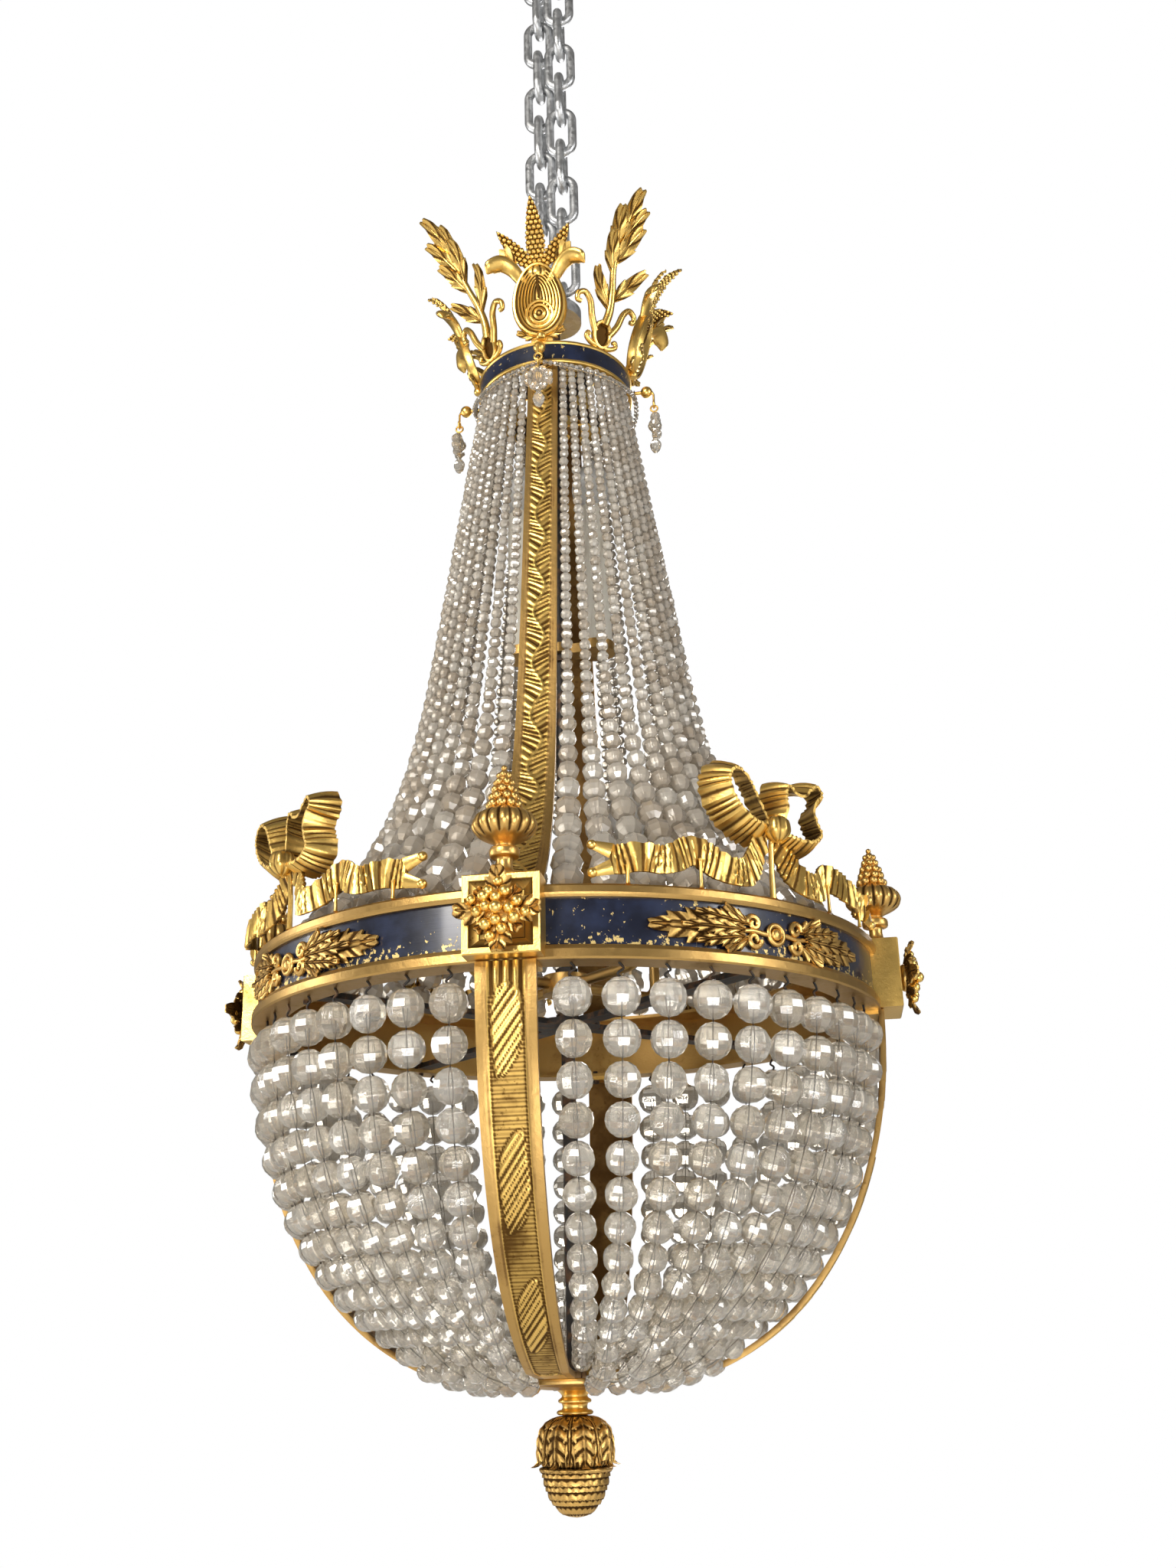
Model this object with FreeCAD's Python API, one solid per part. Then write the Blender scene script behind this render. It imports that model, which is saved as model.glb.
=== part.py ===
import FreeCAD, Part
import math
import os

os.makedirs("parts", exist_ok=True)

# Millimetres, +Z up. The pieces are drawn with the top edge of the main ring at z = 0
# and moved down on export, so that the hanging point of the chain is the origin.
# Azimuth 0 is +X. The four blocks, straps and ribs stand on the X and Y axes,
# the bows, leaf mounts and tall crown sprays stand half-way between them.

# Main ring
RING_RADIUS = 230.0
RING_HEIGHT = 47.0
HOOP_OUTER = 225.0
HOOP_WALL = 4.0
HOOP_INNER = HOOP_OUTER - HOOP_WALL
FLANGE_THICKNESS = 2.5
TOP_FLANGE_RADIUS = 190.0
BOTTOM_FLANGE_RADIUS = 208.0
UPPER_MOULDING = 8.0
LOWER_MOULDING = 9.0
ENAMEL_OUTER = 226.0
ENAMEL_TOP = -UPPER_MOULDING
ENAMEL_BOTTOM = LOWER_MOULDING - RING_HEIGHT

# Crown band
CROWN_BOTTOM = 495.3
CROWN_HEIGHT = 20.8
CROWN_TOP = CROWN_BOTTOM + CROWN_HEIGHT
CROWN_OUTER = 65.9
CROWN_HOOP_OUTER = 64.0
CROWN_HOOP_INNER = 62.0
CROWN_ENAMEL_OUTER = 64.8
CROWN_MOULDING = 3.0
CROWN_FLANGE_RADIUS = 55.0
CROWN_FLANGE_TOP = CROWN_BOTTOM + 2.0

# Tent of the upper strands and straps
CONE_TOP = 497.0
CONE_TOP_RADIUS = CROWN_HOOP_INNER
CONE_FOOT_RADIUS = 212.0
STRAP_THICKNESS = 3.0
STRAP_TOP = 513.0
STRAP_TOP_WIDTH = 24.0
STRAP_FOOT_WIDTH = 37.0
STRAP_BORDER = 4.0
STRAP_FIELD_DEPTH = 0.8
STRANDS_PER_QUARTER = 10
STRAP_TO_STRAND = 0.6
TOP_BEAD = 6.8
FOOT_BEAD = 23.0
BEAD_PACKING = 0.985
UPPER_CUTS = (170.0, 70.0)

# Basket of the lower strands and ribs
BASKET_TOP = -50.0
BASKET_DEPTH = 238.0
BASKET_RADIUS = 220.0
BASKET_POWER = 2.6
BASKET_BEADS = 16
BASKET_FIRST_Z = -67.0
BASKET_FIRST_BEAD = 23.0
BASKET_SHRINK = 0.965
BASKET_PITCH = 1.06
BASKET_LAYER = 7.5
THREAD_RADIUS = 1.2
RIB_THICKNESS = 4.0
RIB_OFFSET = 11.0
RIB_TOP_WIDTH = 38.0
RIB_FOOT_WIDTH = 24.0
PLATE_TOP = -286.0
PLATE_RADIUS = 60.0
PLATE_BOTTOM = -294.7

# Blocks, rosettes and finials on the ring
BLOCK_WIDTH = 48.0
BLOCK_FACE = 245.0
BLOCK_CAP_TOP = 4.0
BLOCK_CAP_INNER = 219.5
BLOCK_BOTTOM = -46.0
PANEL_DEPTH = 1.5
PANEL_HALF_WIDTH = 18.0
PANEL_HALF_HEIGHT = 17.0
ROSETTE_Z = -21.0
FINIAL_AXIS = 231.0

# Bottom finial
NECK_BOTTOM = -310.7
CUP_BOTTOM = -347.6
FINIAL_BOTTOM = -374.7

# Chain
WIRE = 8.0
CHAIN_PITCH = 39.0
LINK_WIDTH = 29.0
CHAIN_GAP = 0.3
CHAIN_LEVELS = 10
FALL_X = 10.5
FALL_Y = 4.5
EYE_BEARING = 612.0
RING_TOP = -(EYE_BEARING + CHAIN_PITCH * CHAIN_LEVELS)

# Stem, spiders and lamps
STEM_RADIUS = 5.0
STEM_BORE = 3.5
STEM_TOP = 590.0
STEM_BOTTOM = -305.0
STEM_FIT = 0.1
NUT_HEIGHT = 6.0
NUT_RADIUS = 8.5
YOKE_BOTTOM = 581.0
YOKE_TOP = 592.0
YOKE_RADIUS = 24.0
EYE_WIRE = 6.0
EYE_INNER = 5.8
SPIDER_THICKNESS = 4.0
ARM_HUB_BOTTOM = -20.0
ARM_HUB_TOP = -6.0
LAMP_RADIUS = 85.0
LAMP_BASE = 18.0
UPPER_LAMP_X = 30.0
UPPER_BAR_BOTTOM = 258.0
UPPER_BAR_TOP = 266.0
UPPER_SLEEVE_HEIGHT = 124.0
SLEEVE_BORE = 11.0
SLEEVE_OUTER = 12.5
SLEEVE_HEIGHT = 58.0
HOLDER_HEIGHT = 56.0
PAN_FLOOR = 2.0

# Hooks and tassels below the crown
PIN_Z = 500.0
PIN_RADIUS = 1.5
PIN_FIT = 0.05
HOOK_BALL_X = 79.0
HOOK_BALL = 5.0
HOOK_X = 85.0
HOOK_WIRE = 0.9
HOOK_EYE = 3.0
HOOK_EYE_Z = 487.2
TASSEL_GAP = 0.05
SWAG_BEAD = 2.25
SWAG_DROOP = 8.0

# Screws
SCREW_RADIUS = 2.0
SCREW_HEAD_RADIUS = 3.4
SCREW_HEAD = 2.5
SCREW_Y = 11.0
SCREW_CIRCLE = 214.5

LEAN = 17.0
UP = FreeCAD.Vector(0, 0, 1)
ORIGIN = FreeCAD.Vector(0, 0, 0)

# Half outline of a cut leaf, as shares of its length and half-width
LEAF_HALF = ((0.0, 0.2), (0.14, 0.6), (0.2, 0.45), (0.38, 1.0), (0.46, 0.7),
             (0.62, 0.85), (0.7, 0.55), (0.86, 0.45), (1.0, 0.0))

# Middle line of a bow's tail: along the ring and up
TAIL_LINE = ((4, 40), (9, 34), (16, 21.5), (25, 12.8), (35, 11.4), (44, 15), (51, 20.5), (58, 24),
             (66, 22.5), (75, 17), (84, 14.6), (92, 16.6), (100, 17.6), (108, 16), (116, 15))
TAIL_WIDTH = 19.0
TAIL_WAVE = 7.7

# Half outline of a leaf mount on the enamel band, from its centre to its tip
MOUNT_HALF = ((7, 3), (14, 8), (21, 10), (25, 6), (33, 11), (39, 6), (47, 9), (53, 5),
              (61, 7), (67, 3.5), (76, 3.5), (88, 0.5))


def vec(x, y, z):
    return FreeCAD.Vector(x, y, z)


def box(x0, x1, y0, y1, z0, z1):
    return Part.makeBox(x1 - x0, y1 - y0, z1 - z0, vec(x0, y0, z0))


def cylinder(radius, bottom, top, x=0.0, y=0.0):
    return Part.makeCylinder(radius, top - bottom, vec(x, y, bottom), UP)


def radial_cylinder(radius, x0, x1, y, z):
    return Part.makeCylinder(radius, x1 - x0, vec(x0, y, z), vec(1, 0, 0))


def ball(radius, x, y, z):
    return Part.makeSphere(radius, vec(x, y, z))


def bead(radius, centre, along, side):
    # A sphere threaded along one direction; its seam faces the side, clear of the threads
    z = FreeCAD.Vector(along).normalize()
    x = FreeCAD.Vector(side)
    x = (x - z * x.dot(z)).normalize()
    y = z.cross(x)
    shape = Part.makeSphere(radius)
    shape.Placement = FreeCAD.Placement(FreeCAD.Matrix(
        x.x, y.x, z.x, centre.x, x.y, y.y, z.y, centre.y, x.z, y.z, z.z, centre.z, 0, 0, 0, 1))
    return shape


def tangent(points, i):
    # Direction of a row of points at one of them
    after = points[min(i + 1, len(points) - 1)]
    return after - points[max(i - 1, 0)]


def sideways(point):
    # Horizontal direction square to the radius
    return vec(-point.y, point.x, 0)


def fuse(shapes):
    if len(shapes) == 1:
        return shapes[0]
    return shapes[0].multiFuse(shapes[1:])


def turned(shape, angle):
    copy = shape.copy()
    copy.rotate(ORIGIN, UP, angle)
    return copy


def moved(shape, x, y, z):
    copy = shape.copy()
    copy.translate(vec(x, y, z))
    return copy


def around(shape, start=0.0, count=4):
    return [turned(shape, start + 360.0 * i / count) for i in range(count)]


def revolved(points):
    # A closed outline of straight lines turned about the Z axis
    corners = [vec(r, 0, z) for r, z in points]
    return Part.Face(Part.makePolygon(corners + [corners[0]])).revolve(ORIGIN, UP, 360)


def turned_body(points):
    # A smooth outer curve from bottom to top, closed to the Z axis and turned about it
    curve = Part.BSplineCurve()
    curve.interpolate([vec(r, 0, z) for r, z in points])
    edges = [curve.toShape()]
    low = vec(0, 0, points[0][1])
    high = vec(0, 0, points[-1][1])
    if points[-1][0] > 0:
        edges.append(Part.makeLine(vec(points[-1][0], 0, points[-1][1]), high))
    edges.append(Part.makeLine(high, low))
    if points[0][0] > 0:
        edges.append(Part.makeLine(low, vec(points[0][0], 0, points[0][1])))
    return Part.Face(Part.Wire(edges)).revolve(ORIGIN, UP, 360)


def prism(outline, depth):
    # An outline of (y, z) points standing in the plane x = 0, thickened along +X
    corners = [vec(0, y, z) for y, z in outline]
    face = Part.Face(Part.makePolygon(corners + [corners[0]]))
    return face.extrude(vec(depth, 0, 0))


def ellipse_wire(x, y, z, half_y, half_z, tilt=0.0):
    points = []
    for i in range(48):
        a = math.radians(7.5 * i)
        u = half_y * math.cos(a)
        w = half_z * math.sin(a)
        t = math.radians(tilt)
        points.append(vec(x, y + u * math.cos(t) - w * math.sin(t),
                          z + u * math.sin(t) + w * math.cos(t)))
    curve = Part.BSplineCurve()
    curve.interpolate(Points=points, PeriodicFlag=True)
    return Part.Wire([curve.toShape()])


def ellipse_plate(x, depth, z, half_y, half_z):
    return Part.Face(ellipse_wire(x, 0, z, half_y, half_z)).extrude(vec(depth, 0, 0))


def rod(points, radius):
    # A bent wire: round bars between the points, with a ball at every bend
    parts = []
    for start, end in zip(points, points[1:]):
        a, b = vec(*start), vec(*end)
        parts.append(Part.makeCylinder(radius, (b - a).Length, a, b - a))
    for point in points[1:-1]:
        parts.append(ball(radius, *point))
    return fuse(parts)


def leaf(length, half_width, depth):
    # A cut leaf standing on the origin in the plane x = 0, tip upwards
    right = [(half_width * w, length * l) for l, w in LEAF_HALF]
    left = [(-y, z) for y, z in reversed(right[:-1])]
    return prism(right + left, depth)


def save(name, solids):
    # One STEP file per node; shapes arrive in the frame of the ring
    shape = Part.makeCompound(solids) if len(solids) > 1 else solids[0]
    shape = shape.copy()
    shape.translate(vec(0, 0, RING_TOP))
    shape.exportStep("parts/" + name + ".step")


# Profiles of the tent and the basket

def cone_share(z):
    return max(0.0, 1.0 - z / CONE_TOP)


def cone_radius(z):
    t = cone_share(z)
    flare = CONE_FOOT_RADIUS - CONE_TOP_RADIUS
    return CONE_TOP_RADIUS + flare * 0.5 * (t + t ** 8)


def strap_width(z):
    t = cone_share(z)
    return STRAP_TOP_WIDTH + (STRAP_FOOT_WIDTH - STRAP_TOP_WIDTH) * (0.55 * t + 0.45 * t ** 6)


def upper_bead(z):
    # The beads stay small in the upper half and grow quickly towards the ring
    t = cone_share(z)
    s = min(1.0, max(0.0, (t - 0.57) / 0.4))
    return TOP_BEAD + 4.2 * t + (FOOT_BEAD - TOP_BEAD - 4.7) * s * s * (3 - 2 * s)


def basket_share(z):
    return min(1.0, max(0.0, (BASKET_TOP - z) / BASKET_DEPTH))


def basket_radius(z):
    s = basket_share(z)
    return BASKET_RADIUS * max(0.0, 1 - s * s) ** (1 / BASKET_POWER)


def rib_width(z):
    s = basket_share(z)
    return RIB_TOP_WIDTH - 4 * s - (RIB_TOP_WIDTH - RIB_FOOT_WIDTH - 4) * s ** 6


# Strands

def upper_centre(index, z):
    r = cone_radius(z)
    edge = math.degrees(math.asin((strap_width(z) / 2 + STRAP_TO_STRAND) / r))
    angle = edge + (90 - 2 * edge) * (index + 0.5) / STRANDS_PER_QUARTER
    a = math.radians(angle)
    return vec(r * math.cos(a), r * math.sin(a), z)


def upper_heights(index):
    # Heights of the beads from the crown to the ring, and where a new length begins
    heights = [CROWN_BOTTOM - TOP_BEAD / 2]
    starts = [0]
    while True:
        z = heights[-1]
        here = upper_centre(index, z)
        cut = len(starts) <= len(UPPER_CUTS) and z < UPPER_CUTS[len(starts) - 1]
        packing = 1.0005 if cut else BEAD_PACKING
        low, high = z - 30.0, z
        for _ in range(40):
            middle = (low + high) / 2
            wanted = packing * (upper_bead(z) + upper_bead(middle)) / 2
            if (upper_centre(index, middle) - here).Length > wanted:
                low = middle
            else:
                high = middle
        if high < upper_bead(high) / 2 + 0.2:
            return heights, starts
        if cut:
            starts.append(len(heights))
        heights.append(high)


def upper_strand(index):
    heights, starts = upper_heights(index)
    centres = [upper_centre(index, z) for z in heights]
    lengths = []
    for first, last in zip(starts, starts[1:] + [len(heights)]):
        beads = []
        for i in range(first, last):
            centre = centres[i]
            beads.append(bead(upper_bead(heights[i]) / 2, centre, tangent(centres, i),
                              sideways(centre)))
        if last == len(heights):
            beads.append(Part.makeCylinder(THREAD_RADIUS, centre.z, vec(centre.x, centre.y, 0), UP))
        lengths.append(fuse(beads))
    return lengths


def basket_path():
    # Bead centres (r, z) and diameters from the ring to the plate, along the profile
    beads = [(basket_radius(BASKET_FIRST_Z), BASKET_FIRST_Z, BASKET_FIRST_BEAD)]
    for index in range(1, BASKET_BEADS):
        r, z, d = beads[-1]
        size = BASKET_FIRST_BEAD * BASKET_SHRINK ** index
        wanted = BASKET_PITCH * (d + size) / 2
        low, high = max(z - 30.0, BASKET_TOP - BASKET_DEPTH + 0.01), z
        for _ in range(40):
            middle = (low + high) / 2
            if math.hypot(basket_radius(middle) - r, middle - z) > wanted:
                low = middle
            else:
                high = middle
        beads.append((basket_radius(high), high, size))
    return beads


def basket_bead(index, bead):
    # Strands lie in two layers near the plate, where there is no room side by side
    r, z, size = bead
    down = (BASKET_RADIUS - r) / (BASKET_RADIUS - PLATE_RADIUS)
    top_angle = 10 + 70.0 * index / (STRANDS_PER_QUARTER - 1)
    low_angle = 14 + 59.0 * index / (STRANDS_PER_QUARTER - 1)
    a = math.radians(top_angle + (low_angle - top_angle) * max(0.0, down))
    layer = BASKET_LAYER * min(1.0, max(0.0, (125.0 - r) / 25.0))
    side = layer if index % 2 else -layer
    slope_r = basket_radius(z - 0.5) - basket_radius(z + 0.5)
    length = math.hypot(slope_r, 1.0)
    r, z = r + side / length, z + side * slope_r / length
    return vec(r * math.cos(a), r * math.sin(a), z)


def basket_strand(index):
    path = basket_path()
    centres = [basket_bead(index, bead) for bead in path]
    pieces = []
    for first, last in ((0, 5), (5, 10), (10, BASKET_BEADS)):
        parts = []
        for i in range(first, last):
            parts.append(bead(path[i][2] / 2, centres[i], tangent(centres, i),
                              sideways(centres[i])))
            if i + 1 < last:
                step = centres[i + 1] - centres[i]
                parts.append(Part.makeCylinder(THREAD_RADIUS, step.Length, centres[i], step))
        if last < BASKET_BEADS:
            step = centres[last] - centres[last - 1]
            reach = step.Length - path[last][2] / 2
            parts.append(Part.makeCylinder(THREAD_RADIUS, reach, centres[last - 1], step))
        pieces.append((parts, centres[last - 1]))
    # The last wire of an outer strand ends at the rim of the plate, of an inner one on its top
    end = pieces[-1][1]
    outward = vec(end.x, end.y, 0).normalize()
    if index % 2:
        seat = outward * PLATE_RADIUS + vec(0, 0, end.z)
        last_wire = Part.makeCylinder(THREAD_RADIUS, (end - seat).Length, seat, end - seat)
    else:
        seat = outward * (PLATE_RADIUS - 10) + vec(0, 0, PLATE_TOP - 8)
        last_wire = Part.makeCylinder(THREAD_RADIUS, (end - seat).Length, seat, end - seat)
        last_wire = last_wire.cut(box(-100, 100, -100, 100, PLATE_TOP - 20, PLATE_TOP))
    pieces[-1][0].append(last_wire)
    return [fuse(parts) for parts, _ in pieces]


def strand_hook(index):
    first = basket_bead(index, basket_path()[0])
    top_of_bead = first.z + BASKET_FIRST_BEAD / 2
    return cylinder(THREAD_RADIUS, top_of_bead, -RING_HEIGHT, first.x, first.y)


# Straps and ribs

def section(point, outward, width, thickness):
    # Cross-section of a strap: a flat bar with a sunk field between two raised borders
    half = width / 2
    inner = half - STRAP_BORDER
    shape = ((-half, 0), (-inner - 0.4, 0), (-inner, -STRAP_FIELD_DEPTH),
             (inner, -STRAP_FIELD_DEPTH), (inner + 0.4, 0), (half, 0),
             (half, -thickness), (-half, -thickness))
    corners = [point + vec(0, y, 0) + outward * d for y, d in shape]
    return Part.makePolygon(corners + [corners[0]])


def bar_along(stations, thickness):
    # Stations are (r, z, width) on the outer face; the bar is thickened inwards
    wires = []
    last = len(stations) - 1
    for i, (r, z, width) in enumerate(stations):
        before = stations[max(0, i - 1)]
        after = stations[min(last, i + 1)]
        along = vec(after[0] - before[0], 0, after[1] - before[1]).normalize()
        outward = vec(-along.z, 0, along.x)
        wires.append(section(vec(r, 0, z), outward, width, thickness))
    return Part.makeLoft(wires, True, True)


def strap():
    heights = [440, 380, 320, 260, 210, 170, 140, 115, 95, 78, 62, 48, 36, 25, 16, 8, 1.5]
    stations = [(CONE_TOP_RADIUS, STRAP_TOP, STRAP_TOP_WIDTH),
                (CONE_TOP_RADIUS, CONE_TOP + 2, STRAP_TOP_WIDTH)]
    stations += [(cone_radius(z), z, strap_width(z)) for z in heights]
    half = STRAP_FOOT_WIDTH / 2
    foot = box(CONE_FOOT_RADIUS - 7, BLOCK_CAP_INNER, -half, half, 0, 3)
    body = fuse([bar_along(stations, STRAP_THICKNESS), foot])
    body = body.cut(radial_cylinder(PIN_RADIUS + PIN_FIT, 50, 70, 0, PIN_Z))
    for y in (-SCREW_Y, SCREW_Y):
        body = body.cut(cylinder(SCREW_RADIUS + 0.2, -1, 4, SCREW_CIRCLE, y))
    return body.common(box(40, 240, -30, 30, 0, 520))


def rib():
    stations = []
    steps = 22
    for i in range(steps + 1):
        z = BASKET_TOP + 3 - (BASKET_DEPTH - 12) * math.sin(math.radians(90.0 * i / steps))
        r = basket_radius(z)
        slope = basket_radius(z - 0.5) - basket_radius(z + 0.5)
        length = math.hypot(slope, 1.0)
        offset = RIB_OFFSET * min(1.0, (r - 50) / 50.0)
        stations.append((r + offset / length, z + offset * slope / length, rib_width(z)))
    stations = [s for s in stations if s[1] > PLATE_TOP + 3.5]
    stations.append((PLATE_RADIUS + 12, PLATE_TOP, rib_width(PLATE_TOP)))
    stations.append((26, PLATE_TOP, rib_width(PLATE_TOP)))
    body = bar_along(stations, RIB_THICKNESS)
    half = RIB_TOP_WIDTH / 2
    tab = box(BOTTOM_FLANGE_RADIUS, BASKET_RADIUS + RIB_OFFSET - RIB_THICKNESS / 2, -half, half,
              -RING_HEIGHT - 3, -RING_HEIGHT)
    body = fuse([body, tab])
    for y in (-SCREW_Y, SCREW_Y):
        body = body.cut(cylinder(SCREW_RADIUS + 0.2, -52, -46, SCREW_CIRCLE, y))
    body = body.cut(cylinder(SCREW_RADIUS + 0.2, PLATE_TOP - 1, PLATE_TOP + 6, 42, 0))
    return body.common(box(20, 240, -30, 30, PLATE_TOP, -RING_HEIGHT))


def screw(x, y, seat, end):
    # Head on the side of the seat that faces away from the end of the shank
    sign = 1 if seat > end else -1
    shank = cylinder(SCREW_RADIUS, min(seat, end), max(seat, end), x, y)
    head = cylinder(SCREW_HEAD_RADIUS, min(seat, seat + sign * SCREW_HEAD),
                    max(seat, seat + sign * SCREW_HEAD), x, y)
    return fuse([head, shank])


def screws():
    quarter = []
    for y in (-SCREW_Y, SCREW_Y):
        quarter.append(screw(SCREW_CIRCLE, y, 3, -4))
        quarter.append(screw(SCREW_CIRCLE, y, -RING_HEIGHT - 3, -RING_HEIGHT + 5))
    quarter.append(screw(42, 0, PLATE_TOP + RIB_THICKNESS, PLATE_TOP - 2.5))
    solids = []
    for s in quarter:
        solids += around(s)
    spider = [screw(CROWN_FLANGE_RADIUS + 3.5, 0, CROWN_FLANGE_TOP + 3, CROWN_BOTTOM - 2),
              screw(SCREW_CIRCLE - 1, 0, SPIDER_THICKNESS - RING_HEIGHT + FLANGE_THICKNESS,
                    -RING_HEIGHT - 2)]
    for s in spider:
        solids += around(s, 45)
    return solids


# Main ring

def screw_holes(z0, z1):
    holes = []
    for y in (-SCREW_Y, SCREW_Y):
        holes += around(cylinder(SCREW_RADIUS, z0, z1, SCREW_CIRCLE, y))
    return holes


def main_hoop():
    low = -RING_HEIGHT
    body = revolved(((BOTTOM_FLANGE_RADIUS, low), (HOOP_OUTER, low), (HOOP_OUTER, 0),
                     (TOP_FLANGE_RADIUS, 0), (TOP_FLANGE_RADIUS, -FLANGE_THICKNESS),
                     (HOOP_INNER, -FLANGE_THICKNESS), (HOOP_INNER, low + FLANGE_THICKNESS),
                     (BOTTOM_FLANGE_RADIUS, low + FLANGE_THICKNESS)))
    holes = screw_holes(-5, 1) + screw_holes(low - 1, low + 4)
    holes += around(cylinder(SCREW_RADIUS, low - 1, low + 4, SCREW_CIRCLE - 1, 0), 45)
    return body.cut(Part.makeCompound(holes))


def upper_moulding():
    r, h = RING_RADIUS, UPPER_MOULDING
    return revolved(((HOOP_OUTER, -h), (r - 1.5, -h), (r - 0.6, -h + 1.4), (r, -h + 2.6),
                     (r, -1.4), (r - 1.2, 0), (HOOP_OUTER, 0)))


def lower_moulding():
    r, low, high = RING_RADIUS, -RING_HEIGHT, ENAMEL_BOTTOM
    return revolved(((HOOP_OUTER, low), (r - 1.0, low), (r, low + 1.2), (r, high - 2.8),
                     (r - 0.6, high - 1.6), (r - 1.5, high), (HOOP_OUTER, high)))


def enamel_band():
    return revolved(((HOOP_OUTER, ENAMEL_BOTTOM), (ENAMEL_OUTER, ENAMEL_BOTTOM),
                     (ENAMEL_OUTER, ENAMEL_TOP), (HOOP_OUTER, ENAMEL_TOP)))


def corner_block(ring_parts):
    half = BLOCK_WIDTH / 2
    body = box(HOOP_INNER + 1, BLOCK_FACE, -half, half, BLOCK_BOTTOM, 0)
    for part in ring_parts:
        body = body.cut(part)
    cap = box(BLOCK_CAP_INNER, BLOCK_FACE, -half, half, 0, BLOCK_CAP_TOP)
    body = fuse([body, cap])
    z = ROSETTE_Z
    panel = box(BLOCK_FACE - PANEL_DEPTH, BLOCK_FACE + 1, -PANEL_HALF_WIDTH, PANEL_HALF_WIDTH,
                z - PANEL_HALF_HEIGHT, z + PANEL_HALF_HEIGHT)
    return body.cut(panel)


def rosette():
    back = BLOCK_FACE - PANEL_DEPTH
    parts = [radial_cylinder(4.5, back, 254, 0, ROSETTE_Z),
             radial_cylinder(13, 251, 255, 0, ROSETTE_Z),
             ball(6.5, 258, 0, ROSETTE_Z)]
    for i in range(8):
        a = math.radians(45.0 * i)
        parts.append(ball(6.6, 256.5, 14.0 * math.cos(a), ROSETTE_Z + 14.0 * math.sin(a)))
    return fuse(parts)


def block_finial():
    z = BLOCK_CAP_TOP
    body = turned_body(((11.5, z), (11.2, z + 2), (6.5, z + 4.5), (5.2, z + 9), (5.4, z + 13),
                        (9.4, z + 15.5), (9.4, z + 17.5), (6.0, z + 20), (11, z + 24),
                        (18.5, z + 29), (20, z + 34), (17.5, z + 40), (9.0, z + 45.5),
                        (8.8, z + 48), (8.6, z + 52), (6.4, z + 60), (4.2, z + 67),
                        (2.4, z + 73), (0, z + 74.5)))
    return moved(body, FINIAL_AXIS, 0, 0)


def bow_loop(side, centre_z, reach, tilt):
    # A conical ribbon: wide rim at the back, narrow rim in front
    y = side * reach
    outer = Part.makeLoft([ellipse_wire(226.5, y, centre_z, 27, 19, side * tilt),
                           ellipse_wire(240, y, centre_z, 14.5, 9.5, side * tilt)], True, True)
    inner = Part.makeLoft([ellipse_wire(226, y, centre_z, 24.6, 16.6, side * tilt),
                           ellipse_wire(240.5, y, centre_z, 11.6, 6.6, side * tilt)], True, True)
    return outer.cut(inner)


def tail_radius(u):
    return 232.5 + 1.8 * math.sin((u - 20.0) / TAIL_WAVE)


def bow_tail(side):
    # A waved ribbon that falls from the knot and lies along the top of the ring
    line = Part.BSplineCurve()
    line.interpolate([vec(u, z, 0) for u, z in TAIL_LINE])
    wires = []
    half = TAIL_WIDTH / 2
    for point in line.discretize(40):
        u, z = point.x, point.y
        r, a = tail_radius(u), side * u / RING_RADIUS
        corners = []
        for dr, dz in ((-1.1, -half), (1.1, -half), (1.1, half), (-1.1, half)):
            corners.append(vec((r + dr) * math.cos(a), (r + dr) * math.sin(a), z + dz))
        wires.append(Part.makePolygon(corners + [corners[0]]))
    parts = [Part.makeLoft(wires, True, True)]
    for sign in (-1, 1):
        b = a + side * 11.0 / RING_RADIUS
        start = vec(r * math.cos(a - side * 0.01), r * math.sin(a - side * 0.01), z + sign * 6.0)
        tip = vec(r * math.cos(b), r * math.sin(b), z + sign * 9.0)
        parts.append(Part.makeCylinder(1.8, (tip - start).Length, start, tip - start))
        parts.append(Part.makeSphere(2.7, tip))
    # Posts on the ring, where the ribbon swings in
    for turns, height in ((0.75, 19.0), (1.75, 12.0)):
        a = side * (20.0 + 2 * math.pi * TAIL_WAVE * turns) / RING_RADIUS
        parts.append(cylinder(2.0, 0, height, 229.5 * math.cos(a), 229.5 * math.sin(a)))
    return fuse(parts)


def bow():
    parts = [ball(8.5, 235.5, 0, 45), radial_cylinder(3, 224, 236, 0, 45),
             cylinder(2.2, 0, 44, 228, 0)]
    start = vec(234, 0, 45)
    for side in (-1, 1):
        # Neck of a loop, from the knot into the ribbon
        end = vec(230, side * 10, 59)
        parts.append(Part.makeCylinder(4.2, (end - start).Length, start, end - start))
    parts += [bow_loop(-1, 73, 27, 40), bow_loop(1, 69, 27, 28)]
    return fuse(parts)


def leaf_mount():
    z0 = -24.0
    shell = revolved(((ENAMEL_OUTER, ENAMEL_BOTTOM), (RING_RADIUS + 0.8, ENAMEL_BOTTOM),
                      (RING_RADIUS + 0.8, ENAMEL_TOP), (ENAMEL_OUTER, ENAMEL_TOP)))
    parts = [shell.common(radial_cylinder(6.5, 215, 240, 0, z0))]
    parts.append(ball(4.2, RING_RADIUS - 0.5, 0, z0))
    for side in (-1, 1):
        middle = side * 12.0
        shift = -side * 12.0 * math.pi / 180.0 * RING_RADIUS
        top = [(side * u + shift, z0 + h) for u, h in MOUNT_HALF]
        low = [(side * u + shift, z0 - h) for u, h in reversed(MOUNT_HALF)]
        outline = moved(prism(top + low, 40), 205, 0, 0)
        parts.append(shell.common(turned(outline, middle)))
    bridge = box(215, 240, -9, 9, z0 - 2.6, z0 + 2.6)
    parts.append(shell.common(bridge))
    return fuse(parts)


# Crown

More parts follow.
